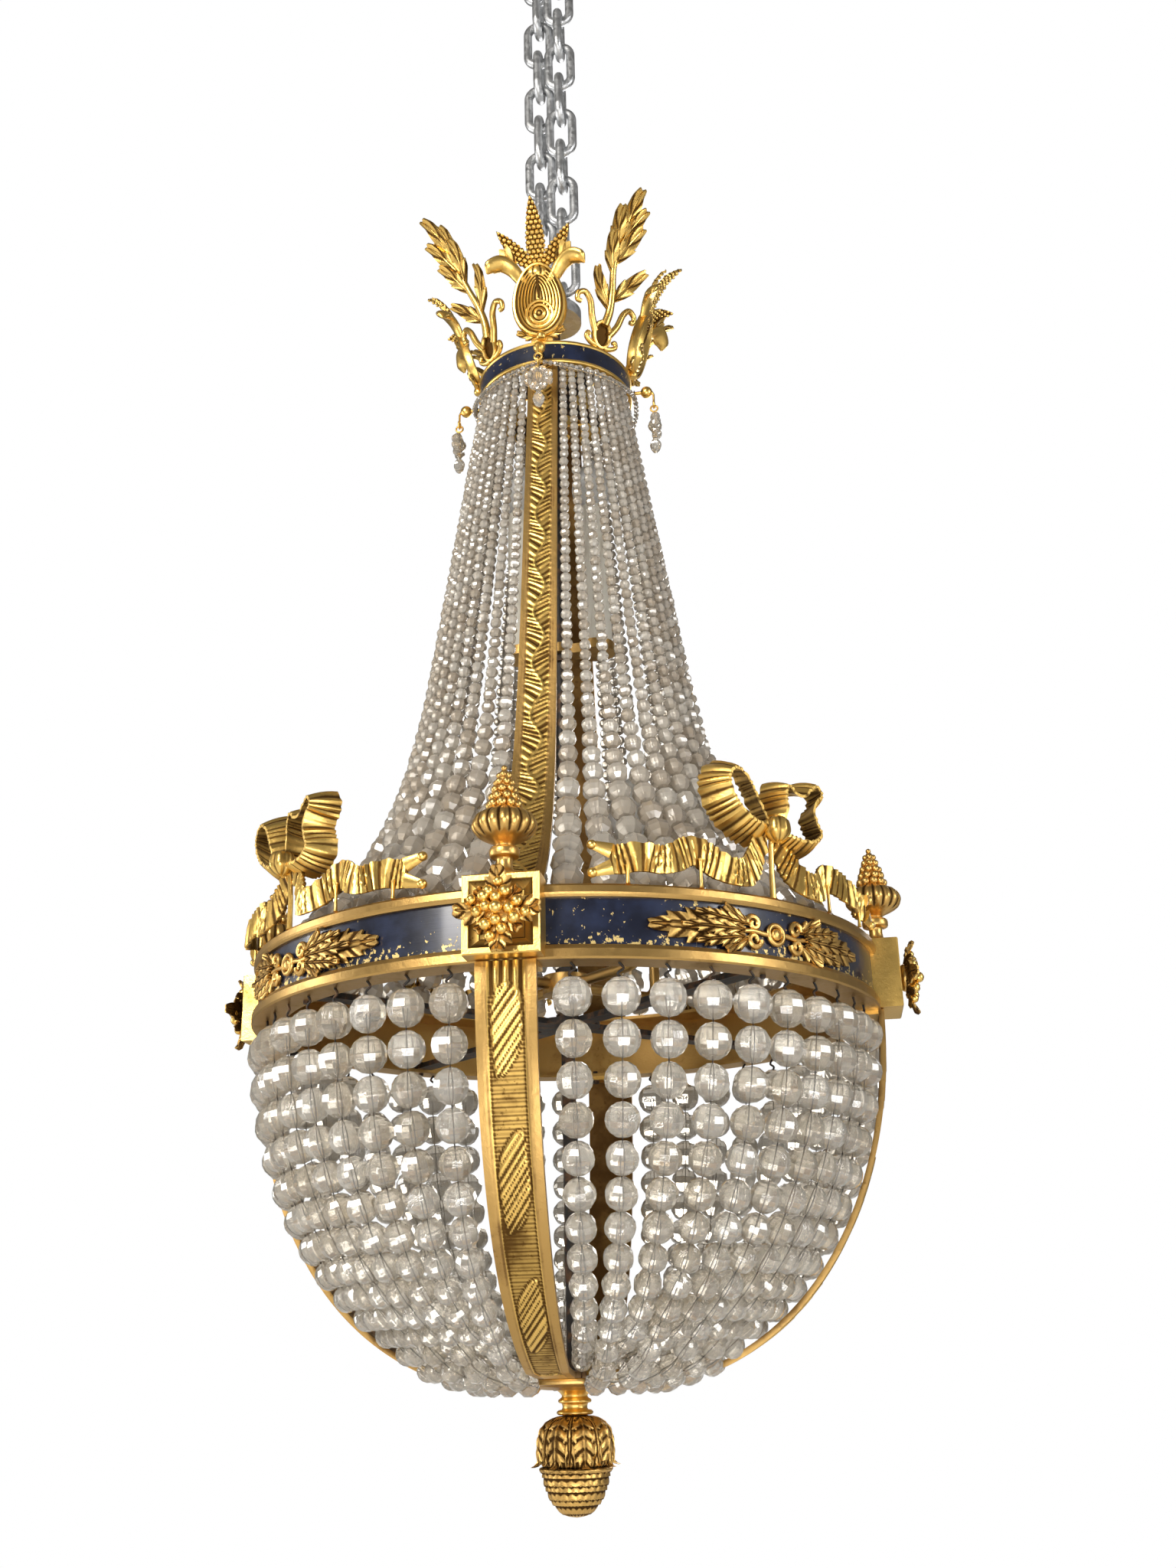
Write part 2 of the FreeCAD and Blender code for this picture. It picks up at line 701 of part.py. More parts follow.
def crown_band():
    body = revolved(((CROWN_FLANGE_RADIUS, CROWN_BOTTOM), (CROWN_HOOP_OUTER, CROWN_BOTTOM),
                     (CROWN_HOOP_OUTER, CROWN_TOP), (CROWN_HOOP_INNER, CROWN_TOP),
                     (CROWN_HOOP_INNER, CROWN_FLANGE_TOP),
                     (CROWN_FLANGE_RADIUS, CROWN_FLANGE_TOP)))
    half = STRAP_TOP_WIDTH / 2 + 0.6
    # A flat seat for each strap, relieved at the lower edge where the strap bends out
    slot = fuse([box(50, CROWN_HOOP_INNER + 0.2, -half, half, CROWN_BOTTOM - 1, STRAP_TOP + 0.4),
                 box(50, CROWN_HOOP_INNER + 0.9, -half, half, CROWN_BOTTOM - 1, CONE_TOP + 0.5)])
    cuts = around(slot) + around(radial_cylinder(PIN_RADIUS + PIN_FIT, 55, 70, 0, PIN_Z))
    cuts += around(cylinder(SCREW_RADIUS, CROWN_BOTTOM - 1, CROWN_FLANGE_TOP + 1,
                            CROWN_FLANGE_RADIUS + 3.5, 0), 45)
    return body.cut(Part.makeCompound(cuts))


def crown_enamel():
    low, high = CROWN_BOTTOM + CROWN_MOULDING, CROWN_TOP - CROWN_MOULDING
    body = revolved(((CROWN_HOOP_OUTER, low), (CROWN_ENAMEL_OUTER, low),
                     (CROWN_ENAMEL_OUTER, high), (CROWN_HOOP_OUTER, high)))
    pins = around(radial_cylinder(PIN_RADIUS + PIN_FIT, 55, 70, 0, PIN_Z))
    return body.cut(Part.makeCompound(pins))


def crown_moulding(low):
    r, high = CROWN_OUTER, low + CROWN_MOULDING
    body = revolved(((CROWN_HOOP_OUTER, low), (r - 0.7, low), (r, low + 0.8), (r, high - 0.8),
                     (r - 0.7, high), (CROWN_HOOP_OUTER, high)))
    return body


def leaned(shape, angle, x, z):
    copy = shape.copy()
    copy.rotate(vec(x, 0, z), vec(0, 1, 0), angle)
    return copy


def placed_leaf(length, half_width, depth, x, y, z, angle):
    # A leaf that grows from (x, y, z), turned by an angle in its own plane
    shape = leaf(length, half_width, depth)
    shape.rotate(ORIGIN, vec(1, 0, 0), angle)
    return moved(shape, x, y, z)


def stand_on_crown(shape):
    # Leans an ornament outwards and trims its foot level with the top of the crown band
    shape = leaned(shape, LEAN, CROWN_HOOP_OUTER, CROWN_TOP)
    return shape.cut(cylinder(140, CROWN_TOP - 40, CROWN_TOP))


def cartouche():
    base = CROWN_TOP
    centre = base + 33
    x = 61.5
    parts = [ellipse_plate(x, 5.0, centre, 21, 29)]
    rim = ellipse_plate(x + 4.5, 3.0, centre, 21, 29)
    parts.append(rim.cut(ellipse_plate(x + 4, 4.0, centre, 17.6, 25.6)))
    for radius, depth in ((11.5, 6.6), (8.0, 7.8)):
        parts.append(radial_cylinder(radius, x + 4, x + depth, 0, base + 22))
    parts.append(ball(3.8, x + 7.4, 0, base + 22))
    parts.append(box(x, x + 4.4, -9, 9, base - 4, base + 9))
    parts.append(ball(4.2, x + 5.5, 0, base + 3.4))
    parts.append(box(x, x + 5, -13, 13, base + 56, base + 68))
    for side in (-1, 1):
        petal = placed_leaf(29, 6.5, 4, x + 1, side * 9, base + 57, -side * 57)
        parts.append(leaned(petal, 14, x + 2, base + 57))
    spray = [placed_leaf(56, 8.5, 3.4, x + 1, 0, base + 62, 0),
             placed_leaf(47, 6.5, 3.4, x + 1, 5, base + 62, -33),
             placed_leaf(47, 6.5, 3.4, x + 1, -5, base + 62, 33)]
    parts.append(leaned(fuse(spray), 13, x + 2, base + 62))
    return stand_on_crown(fuse(parts))


def leaf_spray():
    base = CROWN_TOP
    x = 61.5
    loop = ellipse_plate(x, 4.6, base + 12.5, 9.5, 12.8)
    parts = [loop.cut(ellipse_plate(x - 1, 7, base + 12.8, 6.2, 9.2))]
    parts.append(box(x, x + 4.6, -5, 5, base - 4, base + 2.5))
    parts.append(box(x + 0.6, x + 4.0, -2.6, 2.6, base + 24, base + 60))
    parts.append(placed_leaf(92, 13, 3.4, x + 0.6, 0, base + 48, 0))
    for side in (-1, 1):
        parts.append(placed_leaf(44, 7.5, 3.4, x + 0.6, 0, base + 38, -side * 36))
        arm = rod(((x + 2.3, side * 8, base + 16), (x + 3.3, side * 15, base + 28),
                   (x + 2.3, side * 20, base + 35), (x + 1.0, side * 24, base + 33)), 2.0)
        parts.append(arm)
        parts.append(ball(3.2, x + 1.0, side * 24, base + 32))
    return stand_on_crown(fuse(parts))


def tassel_hook():
    ring = Part.makeTorus(HOOK_EYE, HOOK_WIRE, vec(HOOK_X, 0, HOOK_EYE_Z), vec(1, 0, 0))
    wire = rod(((HOOK_BALL_X, 0, PIN_Z), (HOOK_X - 1.5, 0, PIN_Z), (HOOK_X, 0, PIN_Z - 3),
                (HOOK_X, 0, HOOK_EYE_Z + HOOK_EYE)), HOOK_WIRE)
    nut = radial_cylinder(3.2, 55.5, 58.9, 0, PIN_Z)
    return fuse([radial_cylinder(PIN_RADIUS, 54, HOOK_BALL_X, 0, PIN_Z), nut,
                 ball(HOOK_BALL, HOOK_BALL_X, 0, PIN_Z), wire, ring])


def tassel():
    # Ring in the hook eye, a flower of clear beads and a drop below it
    top = HOOK_EYE_Z - HOOK_EYE + 2 * HOOK_WIRE + TASSEL_GAP
    ring = Part.makeTorus(HOOK_EYE, HOOK_WIRE, vec(HOOK_X, 0, top - HOOK_EYE), vec(0, 1, 0))
    flower = 466.0
    parts = [ring, cylinder(0.8, flower, top - 2 * HOOK_EYE, HOOK_X, 0),
             ball(6.5, HOOK_X, 0, flower)]
    for i in range(8):
        a = math.radians(45.0 * i + 22.5)
        parts.append(ball(4.0, HOOK_X + 1.0, 8.6 * math.cos(a), flower + 7.2 * math.sin(a)))
    drop = turned_body(((0, -27), (2.6, -25.5), (4.6, -21), (4.8, -17), (3.0, -12), (1.6, -8),
                        (1.5, -4)))
    parts.append(moved(drop, HOOK_X, 0, flower))
    return fuse(parts)


def swag():
    # One quarter of the bead garland, from the pin at azimuth 0 to the pin at azimuth 90
    count = 25
    first = 2.6
    beads = []
    centres = []
    for i in range(count):
        angle = first + (90 - 2 * first) * i / (count - 1)
        share = angle / 90.0
        z = 493.2 - SWAG_DROOP * 4 * share * (1 - share)
        r = cone_radius(z) + upper_bead(z) / 2 + SWAG_BEAD + 0.8
        a = math.radians(angle)
        centres.append(vec(r * math.cos(a), r * math.sin(a), z))
    for i, centre in enumerate(centres):
        beads.append(bead(SWAG_BEAD, centre, tangent(centres, i), vec(centre.x, centre.y, 0)))
    loop = PIN_RADIUS + PIN_FIT + 0.6
    for centre, angle, x in ((centres[0], 0, 67.6), (centres[-1], 90, 69.6)):
        ring = Part.makeTorus(loop, 0.6, vec(x, 0, PIN_Z), vec(1, 0, 0))
        low = turned(Part.Vertex(x, 0, PIN_Z - loop), angle).Point
        beads.append(turned(ring, angle))
        beads.append(Part.makeCylinder(0.6, (centre - low).Length, low, centre - low))
    return fuse(beads)


# Bottom

def bottom_plate():
    disc = revolved(((0, PLATE_TOP - 4), (PLATE_RADIUS - 0.8, PLATE_TOP - 4),
                     (PLATE_RADIUS, PLATE_TOP - 3.2), (PLATE_RADIUS, PLATE_TOP), (0, PLATE_TOP)))
    dome = turned_body(((12, PLATE_BOTTOM), (26, PLATE_BOTTOM + 1.6), (42, PLATE_TOP - 5.2),
                        (54, PLATE_TOP - 3.5)))
    parts = [disc, dome]
    for i in range(8):
        a = math.radians(22.5 + 45 * i)
        parts.append(ball(3.4, 50 * math.cos(a), 50 * math.sin(a), PLATE_TOP - 6.2))
    body = fuse(parts)
    body = body.cut(cylinder(STEM_RADIUS + STEM_FIT, PLATE_BOTTOM - 1, PLATE_TOP + 1))
    for hole in around(cylinder(SCREW_RADIUS, PLATE_TOP - 2.5, PLATE_TOP + 1, 42, 0)):
        body = body.cut(hole)
    return body


def neck():
    z = NECK_BOTTOM
    body = turned_body(((11, z), (12.5, z + 1.5), (11, z + 3.2), (8.6, z + 4.6), (8.4, z + 7.0),
                        (10.8, z + 8.6), (10.8, z + 10.2), (8.8, z + 12), (10, z + 14.2),
                        (12, PLATE_BOTTOM)))
    return body.cut(cylinder(STEM_RADIUS + STEM_FIT, STEM_BOTTOM - 0.5, PLATE_BOTTOM + 1))


def finial_cup():
    body = turned_body(((20, CUP_BOTTOM), (26.5, CUP_BOTTOM + 1.2), (30.5, CUP_BOTTOM + 5),
                        (29.2, CUP_BOTTOM + 10), (26, CUP_BOTTOM + 17), (21.5, CUP_BOTTOM + 25),
                        (16, CUP_BOTTOM + 32), (11, NECK_BOTTOM)))
    tips = []
    for i in range(8):
        a = math.radians(22.5 + 45 * i)
        tips.append(ball(3.6, 28.8 * math.cos(a), 28.8 * math.sin(a), CUP_BOTTOM + 5.2))
    return fuse([body] + tips)


def pine_cone():
    return turned_body(((0, FINIAL_BOTTOM), (6, FINIAL_BOTTOM + 1.4), (12, FINIAL_BOTTOM + 5.5),
                        (17.5, FINIAL_BOTTOM + 12.5), (20.5, FINIAL_BOTTOM + 20),
                        (20, CUP_BOTTOM)))


# Stem, spiders and lamps

def nut(bottom):
    corners = []
    for i in range(7):
        a = math.radians(60.0 * i)
        corners.append(vec(NUT_RADIUS * math.cos(a), NUT_RADIUS * math.sin(a), bottom))
    body = Part.Face(Part.makePolygon(corners)).extrude(vec(0, 0, NUT_HEIGHT))
    return body.cut(cylinder(STEM_RADIUS, bottom - 1, bottom + NUT_HEIGHT + 1))


def stem():
    body = cylinder(STEM_RADIUS, STEM_BOTTOM, STEM_TOP)
    return body.cut(cylinder(STEM_BORE, STEM_BOTTOM - 1, STEM_TOP + 1))


def stem_nuts():
    spider_top = SPIDER_THICKNESS - RING_HEIGHT + FLANGE_THICKNESS
    seats = ((CROWN_FLANGE_TOP, CROWN_FLANGE_TOP + 3),
             (UPPER_BAR_BOTTOM, UPPER_BAR_TOP), (ARM_HUB_BOTTOM, ARM_HUB_TOP),
             (spider_top - SPIDER_THICKNESS, spider_top))
    nuts = [nut(PLATE_TOP), nut(YOKE_BOTTOM - NUT_HEIGHT)]
    for low, high in seats:
        nuts.append(nut(low - NUT_HEIGHT))
        nuts.append(nut(high))
    return nuts


def hanging_eye():
    # A thick disc on the end of the stem, with one eye for each fall of the chain
    body = cylinder(YOKE_RADIUS, YOKE_BOTTOM, YOKE_TOP)
    centre = EYE_BEARING + CHAIN_GAP / 2 - EYE_INNER
    major = EYE_INNER + EYE_WIRE / 2
    parts = [body]
    for x, y, axis in ((-FALL_X, FALL_Y, vec(0, 1, 0)), (FALL_X, -FALL_Y, vec(1, 0, 0))):
        arch = Part.makeTorus(major, EYE_WIRE / 2, vec(x, y, centre), axis)
        keep = box(-40, 40, -40, 40, centre, centre + 20)
        legs = []
        for side in (-1, 1):
            lx = x + side * major * abs(axis.y)
            ly = y + side * major * abs(axis.x)
            legs.append(cylinder(EYE_WIRE / 2, YOKE_BOTTOM, centre, lx, ly))
        parts += [arch.common(keep)] + legs
    body = fuse(parts)
    return body.cut(cylinder(STEM_RADIUS + STEM_FIT, YOKE_BOTTOM - 1, STEM_TOP))


def crown_spider():
    low, high = CROWN_FLANGE_TOP, CROWN_FLANGE_TOP + 3
    arm = box(0, CROWN_HOOP_INNER - 0.2, -7, 7, low, high)
    body = fuse([cylinder(16, low, high)] + around(arm, 45))
    body = body.common(cylinder(CROWN_HOOP_INNER - 0.1, low, high))
    body = body.cut(cylinder(STEM_RADIUS + STEM_FIT, low - 1, high + 1))
    for hole in around(cylinder(SCREW_RADIUS + 0.2, low - 1, high + 1, CROWN_FLANGE_RADIUS + 3.5, 0), 45):
        body = body.cut(hole)
    return body


def ring_spider():
    low = FLANGE_THICKNESS - RING_HEIGHT
    high = low + SPIDER_THICKNESS
    arm = box(0, HOOP_INNER - 0.3, -7, 7, low, high)
    body = fuse([cylinder(24, low, high)] + around(arm, 45))
    body = body.common(cylinder(HOOP_INNER - 0.2, low, high))
    body = body.cut(cylinder(STEM_RADIUS + STEM_FIT, low - 1, high + 1))
    for hole in around(cylinder(SCREW_RADIUS + 0.2, low - 1, high + 1, SCREW_CIRCLE - 1, 0), 45):
        body = body.cut(hole)
    return body


def lamp_arms():
    middle = (ARM_HUB_BOTTOM + ARM_HUB_TOP) / 2
    bend = 10.0
    x = LAMP_RADIUS
    elbow = Part.makeTorus(bend, 4.0, vec(x - bend, 0, middle + bend), vec(0, 1, 0))
    elbow = elbow.common(box(x - bend, x + 10, -6, 6, middle - 6, middle + bend))
    arm = fuse([radial_cylinder(4.0, 12, x - bend, 0, middle), elbow,
                cylinder(4.0, middle + bend, LAMP_BASE - 3, x, 0),
                cylinder(9.0, LAMP_BASE - 3, LAMP_BASE, x, 0)])
    hub = cylinder(18, ARM_HUB_BOTTOM, ARM_HUB_TOP)
    body = fuse([hub] + around(arm, 45))
    return body.cut(cylinder(STEM_RADIUS + STEM_FIT, ARM_HUB_BOTTOM - 1, ARM_HUB_TOP + 1))


def drip_pan():
    z = LAMP_BASE
    pan = revolved(((0, z), (14, z), (21, z + 2.5), (25, z + 7), (24, z + 7.6), (20, z + 4.4),
                    (14, z + PAN_FLOOR), (0, z + PAN_FLOOR)))
    return moved(pan, LAMP_RADIUS, 0, 0)


def sleeve(height):
    return cylinder(SLEEVE_OUTER, 0, height).cut(cylinder(SLEEVE_BORE, -1, height + 1))


def lampholder():
    body = cylinder(SLEEVE_BORE, 0, HOLDER_HEIGHT)
    return body.cut(cylinder(7.0, HOLDER_HEIGHT - 14, HOLDER_HEIGHT + 1))


def bulb():
    # Stands in the lampholder: a round cap below and a candle-shaped glass above
    z = HOLDER_HEIGHT - 14
    glass = turned_body(((6.6, z), (6.6, z + 5), (6.6, z + 13), (8.4, z + 18), (15.4, z + 27),
                         (17.4, z + 35), (15.2, z + 45), (9.0, z + 56), (3.6, z + 63), (0, z + 65)))
    return glass.cut(lampholder())


def upper_lamp_bar():
    low, high = UPPER_BAR_BOTTOM, UPPER_BAR_TOP
    parts = [box(-UPPER_LAMP_X, UPPER_LAMP_X, -7, 7, low, high), cylinder(12, low, high)]
    for x in (-UPPER_LAMP_X, UPPER_LAMP_X):
        parts.append(cylinder(14.5, low, high, x, 0))
    body = fuse(parts)
    return body.cut(cylinder(STEM_RADIUS + STEM_FIT, low - 1, high + 1))


def lamps(part, floor_offset, upper_lift):
    # The same part on the four arms and on the two places of the upper bar
    solids = around(moved(part, LAMP_RADIUS, 0, LAMP_BASE + PAN_FLOOR + floor_offset), 45)
    for x in (-UPPER_LAMP_X, UPPER_LAMP_X):
        solids.append(moved(part, x, 0, UPPER_BAR_TOP + upper_lift))
    return solids


# Chain

def link(x, y, low, face_on):
    # A long link whose lower inner face is at z = low
    major = (LINK_WIDTH - WIRE) / 2
    inner = CHAIN_PITCH + CHAIN_GAP
    wire = WIRE / 2
    bottom = low - CHAIN_GAP / 2 + major - wire
    top = low - CHAIN_GAP / 2 + inner - major + wire
    parts = []
    for z, z0, z1 in ((bottom, bottom - 30, bottom), (top, top, top + 30)):
        bend = Part.makeTorus(major, wire, vec(0, 0, z), vec(0, 1, 0))
        parts.append(bend.common(box(-30, 30, -30, 30, z0, z1)))
    for side in (-major, major):
        parts.append(cylinder(wire, bottom, top, side, 0))
    body = fuse(parts)
    if not face_on:
        body = turned(body, 90)
    return moved(body, x, y, 0)


def chain_level(level):
    low = EYE_BEARING + CHAIN_PITCH * (level - 1)
    odd = level % 2 == 1
    return [link(FALL_X, -FALL_Y, low, odd), link(-FALL_X, FALL_Y, low, not odd)]


for level in range(1, CHAIN_LEVELS + 1):
    save("chain_links_%02d" % level, chain_level(level))

save("hanging_eye", [hanging_eye()])
save("stem", [stem()])
save("stem_nuts", stem_nuts())
save("crown_spider", [crown_spider()])
save("crown_band", [crown_band()])
save("crown_enamel", [crown_enamel()])
save("crown_mouldings", [crown_moulding(CROWN_BOTTOM), crown_moulding(CROWN_TOP - CROWN_MOULDING)])
save("cartouches", around(cartouche()))
save("leaf_sprays", around(leaf_spray(), 45))
save("tassel_hooks", around(tassel_hook()))
for name, angle in (("front", 270), ("right", 0), ("back", 90), ("left", 180)):
    save("tassel_" + name, [turned(tassel(), angle)])
save("bead_swags", around(swag()))
save("upper_straps", around(strap()))

upper_quarter = []
for index in range(STRANDS_PER_QUARTER):
    upper_quarter += upper_strand(index)
for quarter in range(4):
    save("cone_strands_%d" % (quarter + 1), [turned(s, 90 * quarter) for s in upper_quarter])

hoop = main_hoop()
mouldings = (upper_moulding(), lower_moulding())
enamel = enamel_band()
save("main_hoop", [hoop])
save("upper_moulding", [mouldings[0]])
save("lower_moulding", [mouldings[1]])
save("enamel_band", [enamel])
save("corner_blocks", around(corner_block((hoop, enamel) + mouldings)))
save("block_rosettes", around(rosette()))
save("block_finials", around(block_finial()))
ribbon_bow = bow()
save("bows", around(ribbon_bow, 45))
tails = []
for side in (-1, 1):
    tails += around(bow_tail(side).cut(ribbon_bow), 45)
save("bow_tails", tails)
save("leaf_mounts", around(leaf_mount(), 45))

hooks = []
basket_quarter = []
for index in range(STRANDS_PER_QUARTER):
    hooks += around(strand_hook(index))
    basket_quarter += basket_strand(index)
save("strand_hooks", hooks)
for quarter in range(4):
    save("basket_strands_%d" % (quarter + 1), [turned(s, 90 * quarter) for s in basket_quarter])
save("lower_ribs", around(rib()))
save("screws", screws())

save("bottom_plate", [bottom_plate()])
save("neck", [neck()])
save("finial_cup", [finial_cup()])
save("pine_cone", [pine_cone()])
save("ring_spider", [ring_spider()])
save("lamp_arms", [lamp_arms()])
save("drip_pans", around(drip_pan(), 45))
save("candle_sleeves", around(moved(sleeve(SLEEVE_HEIGHT), LAMP_RADIUS, 0, LAMP_BASE + PAN_FLOOR), 45))
save("upper_lamp_bar", [upper_lamp_bar()])
save("upper_sleeves", [moved(sleeve(UPPER_SLEEVE_HEIGHT), x, 0, UPPER_BAR_TOP)
                       for x in (-UPPER_LAMP_X, UPPER_LAMP_X)])
save("lampholders", lamps(lampholder(), 0, UPPER_SLEEVE_HEIGHT - HOLDER_HEIGHT - 2))
save("bulbs", lamps(bulb(), 0, UPPER_SLEEVE_HEIGHT - HOLDER_HEIGHT - 2))
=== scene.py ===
import math

import bmesh
import bpy
import numpy as np
from mathutils import Matrix, Vector


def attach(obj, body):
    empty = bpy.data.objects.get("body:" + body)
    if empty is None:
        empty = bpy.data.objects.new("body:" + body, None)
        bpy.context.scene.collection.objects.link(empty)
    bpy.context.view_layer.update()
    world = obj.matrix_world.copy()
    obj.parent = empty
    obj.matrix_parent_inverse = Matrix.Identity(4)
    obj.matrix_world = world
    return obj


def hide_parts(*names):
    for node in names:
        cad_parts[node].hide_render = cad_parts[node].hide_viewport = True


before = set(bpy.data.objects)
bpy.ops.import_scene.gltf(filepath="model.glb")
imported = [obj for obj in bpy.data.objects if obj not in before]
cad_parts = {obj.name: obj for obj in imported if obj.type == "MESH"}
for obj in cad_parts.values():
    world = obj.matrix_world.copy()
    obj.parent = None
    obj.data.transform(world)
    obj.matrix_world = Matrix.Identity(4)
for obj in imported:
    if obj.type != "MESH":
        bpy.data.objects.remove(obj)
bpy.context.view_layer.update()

# Millimetres, with the top edge of the main ring at height 0; finished pieces are in metres,
# moved down so that the hanging point of the chain is the origin.
# Azimuth 0 is +X. Blocks, straps and ribs stand on the axes, bows and leaf mounts between them.
RING_TOP = -1002.0
RING_RADIUS = 230.0
RING_HEIGHT = 47.0
ENAMEL_RADIUS = 226.0
ENAMEL_BOTTOM = -38.0
CROWN_BOTTOM = 495.3
CROWN_TOP = 516.1
CROWN_RADIUS = 64.0
CROWN_LEAN = 17.0
CONE_TOP = 497.0
CONE_TOP_RADIUS = 62.0
CONE_FOOT_RADIUS = 212.0
STRAP_TOP = 513.0
STRANDS_PER_QUARTER = 10
TOP_BEAD = 6.8
FOOT_BEAD = 23.0
BASKET_TOP = -50.0
BASKET_DEPTH = 238.0
BASKET_RADIUS = 220.0
BASKET_POWER = 2.6
BASKET_BEADS = 15
BASKET_FIRST_Z = -68.0
BASKET_FIRST_BEAD = 25.0
BASKET_PITCH = 1.03
BASKET_SHRINK = 0.965
BASKET_LAYER = 7.5
PLATE_TOP = -286.0
PLATE_RADIUS = 60.0
STRAP_THICKNESS = 3.0
RIB_THICKNESS = 4.0
RIB_STANDOFF = 11.0
HOOK_EYE_X = 68.6
HOOK_EYE_Z = 500.0
SWAG_BEADS = 25
SWAG_BEAD = 4.5
SWAG_Z = 493.2
SWAG_SAG = 32.0
TASSEL_X = 85.0
TASSEL_Z = 466.0
TASSEL_TOP = 486.05
BLOCK_FACE = 245.0
BLOCK_WIDTH = 48.0
ROSETTE_Z = -21.0
FINIAL_AXIS = 231.0
FINIAL_FOOT = 4.0
LOOP_AXIS = 227.5
TAIL_AXIS = 232.0
TAIL_FIRST = 20.0
TAIL_WAVE = 7.7
TAIL_END = 115.0
MOUNT_Z = -24.0
CARTOUCHE_X = 61.5
SPRAY_X = 61.8
NECK_BOTTOM = -310.7
CONE_EDGE = -343.0
FLOOR_Z = -820.0
FLOOR_HALF = 2800.0
CHANDELIER = "chandelier"


# Shader and geometry nodes

def maths(operation, swapped=False):
    """An operator of values, with a number or a value on the other side."""
    def work(self, other):
        pair = (other, self) if swapped else (self, other)
        return self.graph.node("ShaderNodeMath", {"operation": operation}, pair)
    return work


class Value:
    """An output of a node that takes part in sums."""

    def __init__(self, graph, socket):
        self.graph = graph
        self.socket = socket

    __add__ = maths("ADD")
    __radd__ = maths("ADD", True)
    __sub__ = maths("SUBTRACT")
    __rsub__ = maths("SUBTRACT", True)
    __mul__ = maths("MULTIPLY")
    __rmul__ = maths("MULTIPLY", True)

    def other(self, name):
        return Value(self.graph, self.socket.node.outputs[name])

    def above(self, low, high):
        """Rises from 0 to 1 between two levels."""
        settings = {"interpolation_type": "SMOOTHSTEP"}
        return self.graph.node("ShaderNodeMapRange", settings, (self, low, high, 0.0, 1.0))


class Graph:
    """A node tree that is filled one node at a time."""

    def __init__(self, tree):
        self.tree = tree
        self.coordinates = None

    def node(self, kind, settings=None, inputs=(), output=0):
        made = self.tree.nodes.new(kind)
        for name, value in (settings or {}).items():
            setattr(made, name, value)
        pairs = inputs.items() if isinstance(inputs, dict) else enumerate(inputs)
        for key, value in pairs:
            if isinstance(value, Value):
                self.tree.links.new(value.socket, made.inputs[key])
            elif value is not None:
                made.inputs[key].default_value = value
        return Value(self, made.outputs[output]) if made.outputs else made

    def place(self):
        """The object's own coordinates."""
        if self.coordinates is None:
            self.coordinates = self.node("ShaderNodeTexCoord", output="Object")
        return self.coordinates

    def attribute(self, name):
        return self.node("ShaderNodeAttribute", {"attribute_name": name}, output="Fac")

    def noise(self, scale, detail=3.0, roughness=0.55, upright=None):
        """Noise in the object's coordinates; upright is its fineness along Z."""
        place = self.place()
        if upright:
            place = self.node("ShaderNodeMapping", None,
                              {"Vector": place, "Scale": (1.0, 1.0, upright)})
        return self.node("ShaderNodeTexNoise", None, {"Vector": place, "Scale": scale,
                                                      "Detail": detail, "Roughness": roughness})

    def blend(self, factor, first, second):
        pair = [c if isinstance(c, Value) else (*c, 1.0) for c in (first, second)]
        return self.node("ShaderNodeMix", {"data_type": "RGBA"}, {0: factor, 6: pair[0], 7: pair[1]}, 2)

    def bump(self, height, distance, strength):
        return self.node("ShaderNodeBump", None,
                         {"Strength": strength, "Distance": distance, "Height": height})

    def surface(self, colour, rough, normal=None, **more):
        """A surface; the names of the other sockets have _ for a space."""
        sockets = {"Base Color": colour, "Roughness": rough, "Normal": normal}
        sockets.update({name.replace("_", " "): value for name, value in more.items()})
        return self.node("ShaderNodeBsdfPrincipled", None, sockets)

    def named(self, name, kind="FLOAT"):
        return self.node("GeometryNodeInputNamedAttribute", {"data_type": kind}, {"Name": name})


def material(name, paint):
    made = bpy.data.materials.new(name)
    made.use_nodes = True
    made.node_tree.nodes.clear()
    graph = Graph(made.node_tree)
    graph.node("ShaderNodeOutputMaterial", None, (paint(graph),))
    return made


def gilding(bright, dull, wear=0.5, rough=0.3, grain=0.5):
    """Fire-gilt bronze: yellow on the ridges, brown where it is worn, and painted shade that browns the
    recesses.
    """
    def paint(graph):
        broad = graph.noise(24.0, 4.0)
        fine = graph.noise(310.0, 3.0, 0.6)
        spots = graph.noise(900.0, 2.0)
        # Painted shade from the recess attribute, plus real wear from the broad noise and fine grain
        shade_and_wear = (graph.attribute("recess") * 1.1 + (broad - wear).above(0.0, 0.3) * 0.5
                   + fine.above(0.55, 0.78) * 0.22).above(0.0, 1.1)
        shade_wear_and_pits = shade_and_wear + spots.above(0.68, 0.74) * 0.35
        return graph.surface(graph.blend(shade_wear_and_pits.above(0.0, 1.0), bright, dull),
                             rough + shade_and_wear * 0.3 + fine * 0.12,
                             graph.bump(fine * 0.6 + spots * grain, 0.0004, 0.55), Metallic=1.0)
    return paint


def enamel(graph):
    """Dark blue strip with scratches, and gilt spots that gather at its lower edge."""
    height = graph.node("ShaderNodeSeparateXYZ", None, (graph.place(),), "Z")
    edge = (RING_TOP + ENAMEL_BOTTOM) * 0.001
    low = 1.0 - height.above(edge, edge + 0.017)
    patches = (graph.noise(18.0, 2.0) - 0.5) * 0.35
    worn = (graph.noise(260.0, 4.0, 0.62) + low * 0.14 + patches).above(0.67, 0.7)
    cloud = graph.noise(60.0, 4.0)
    blue = graph.blend(cloud.above(0.35, 0.75), (0.003, 0.005, 0.016), (0.009, 0.016, 0.046))
    scratches = graph.noise(60.0, upright=22.0)
    return graph.surface(graph.blend(worn, blue, (0.78, 0.6, 0.25)),
                         0.24 + cloud * 0.2 + worn * 0.2,
                         graph.bump(worn * 0.5 + scratches * 0.35, 0.0004, 0.5), Metallic=worn,
                         Coat_Weight=0.5 - worn * 0.5, Coat_Roughness=0.12)


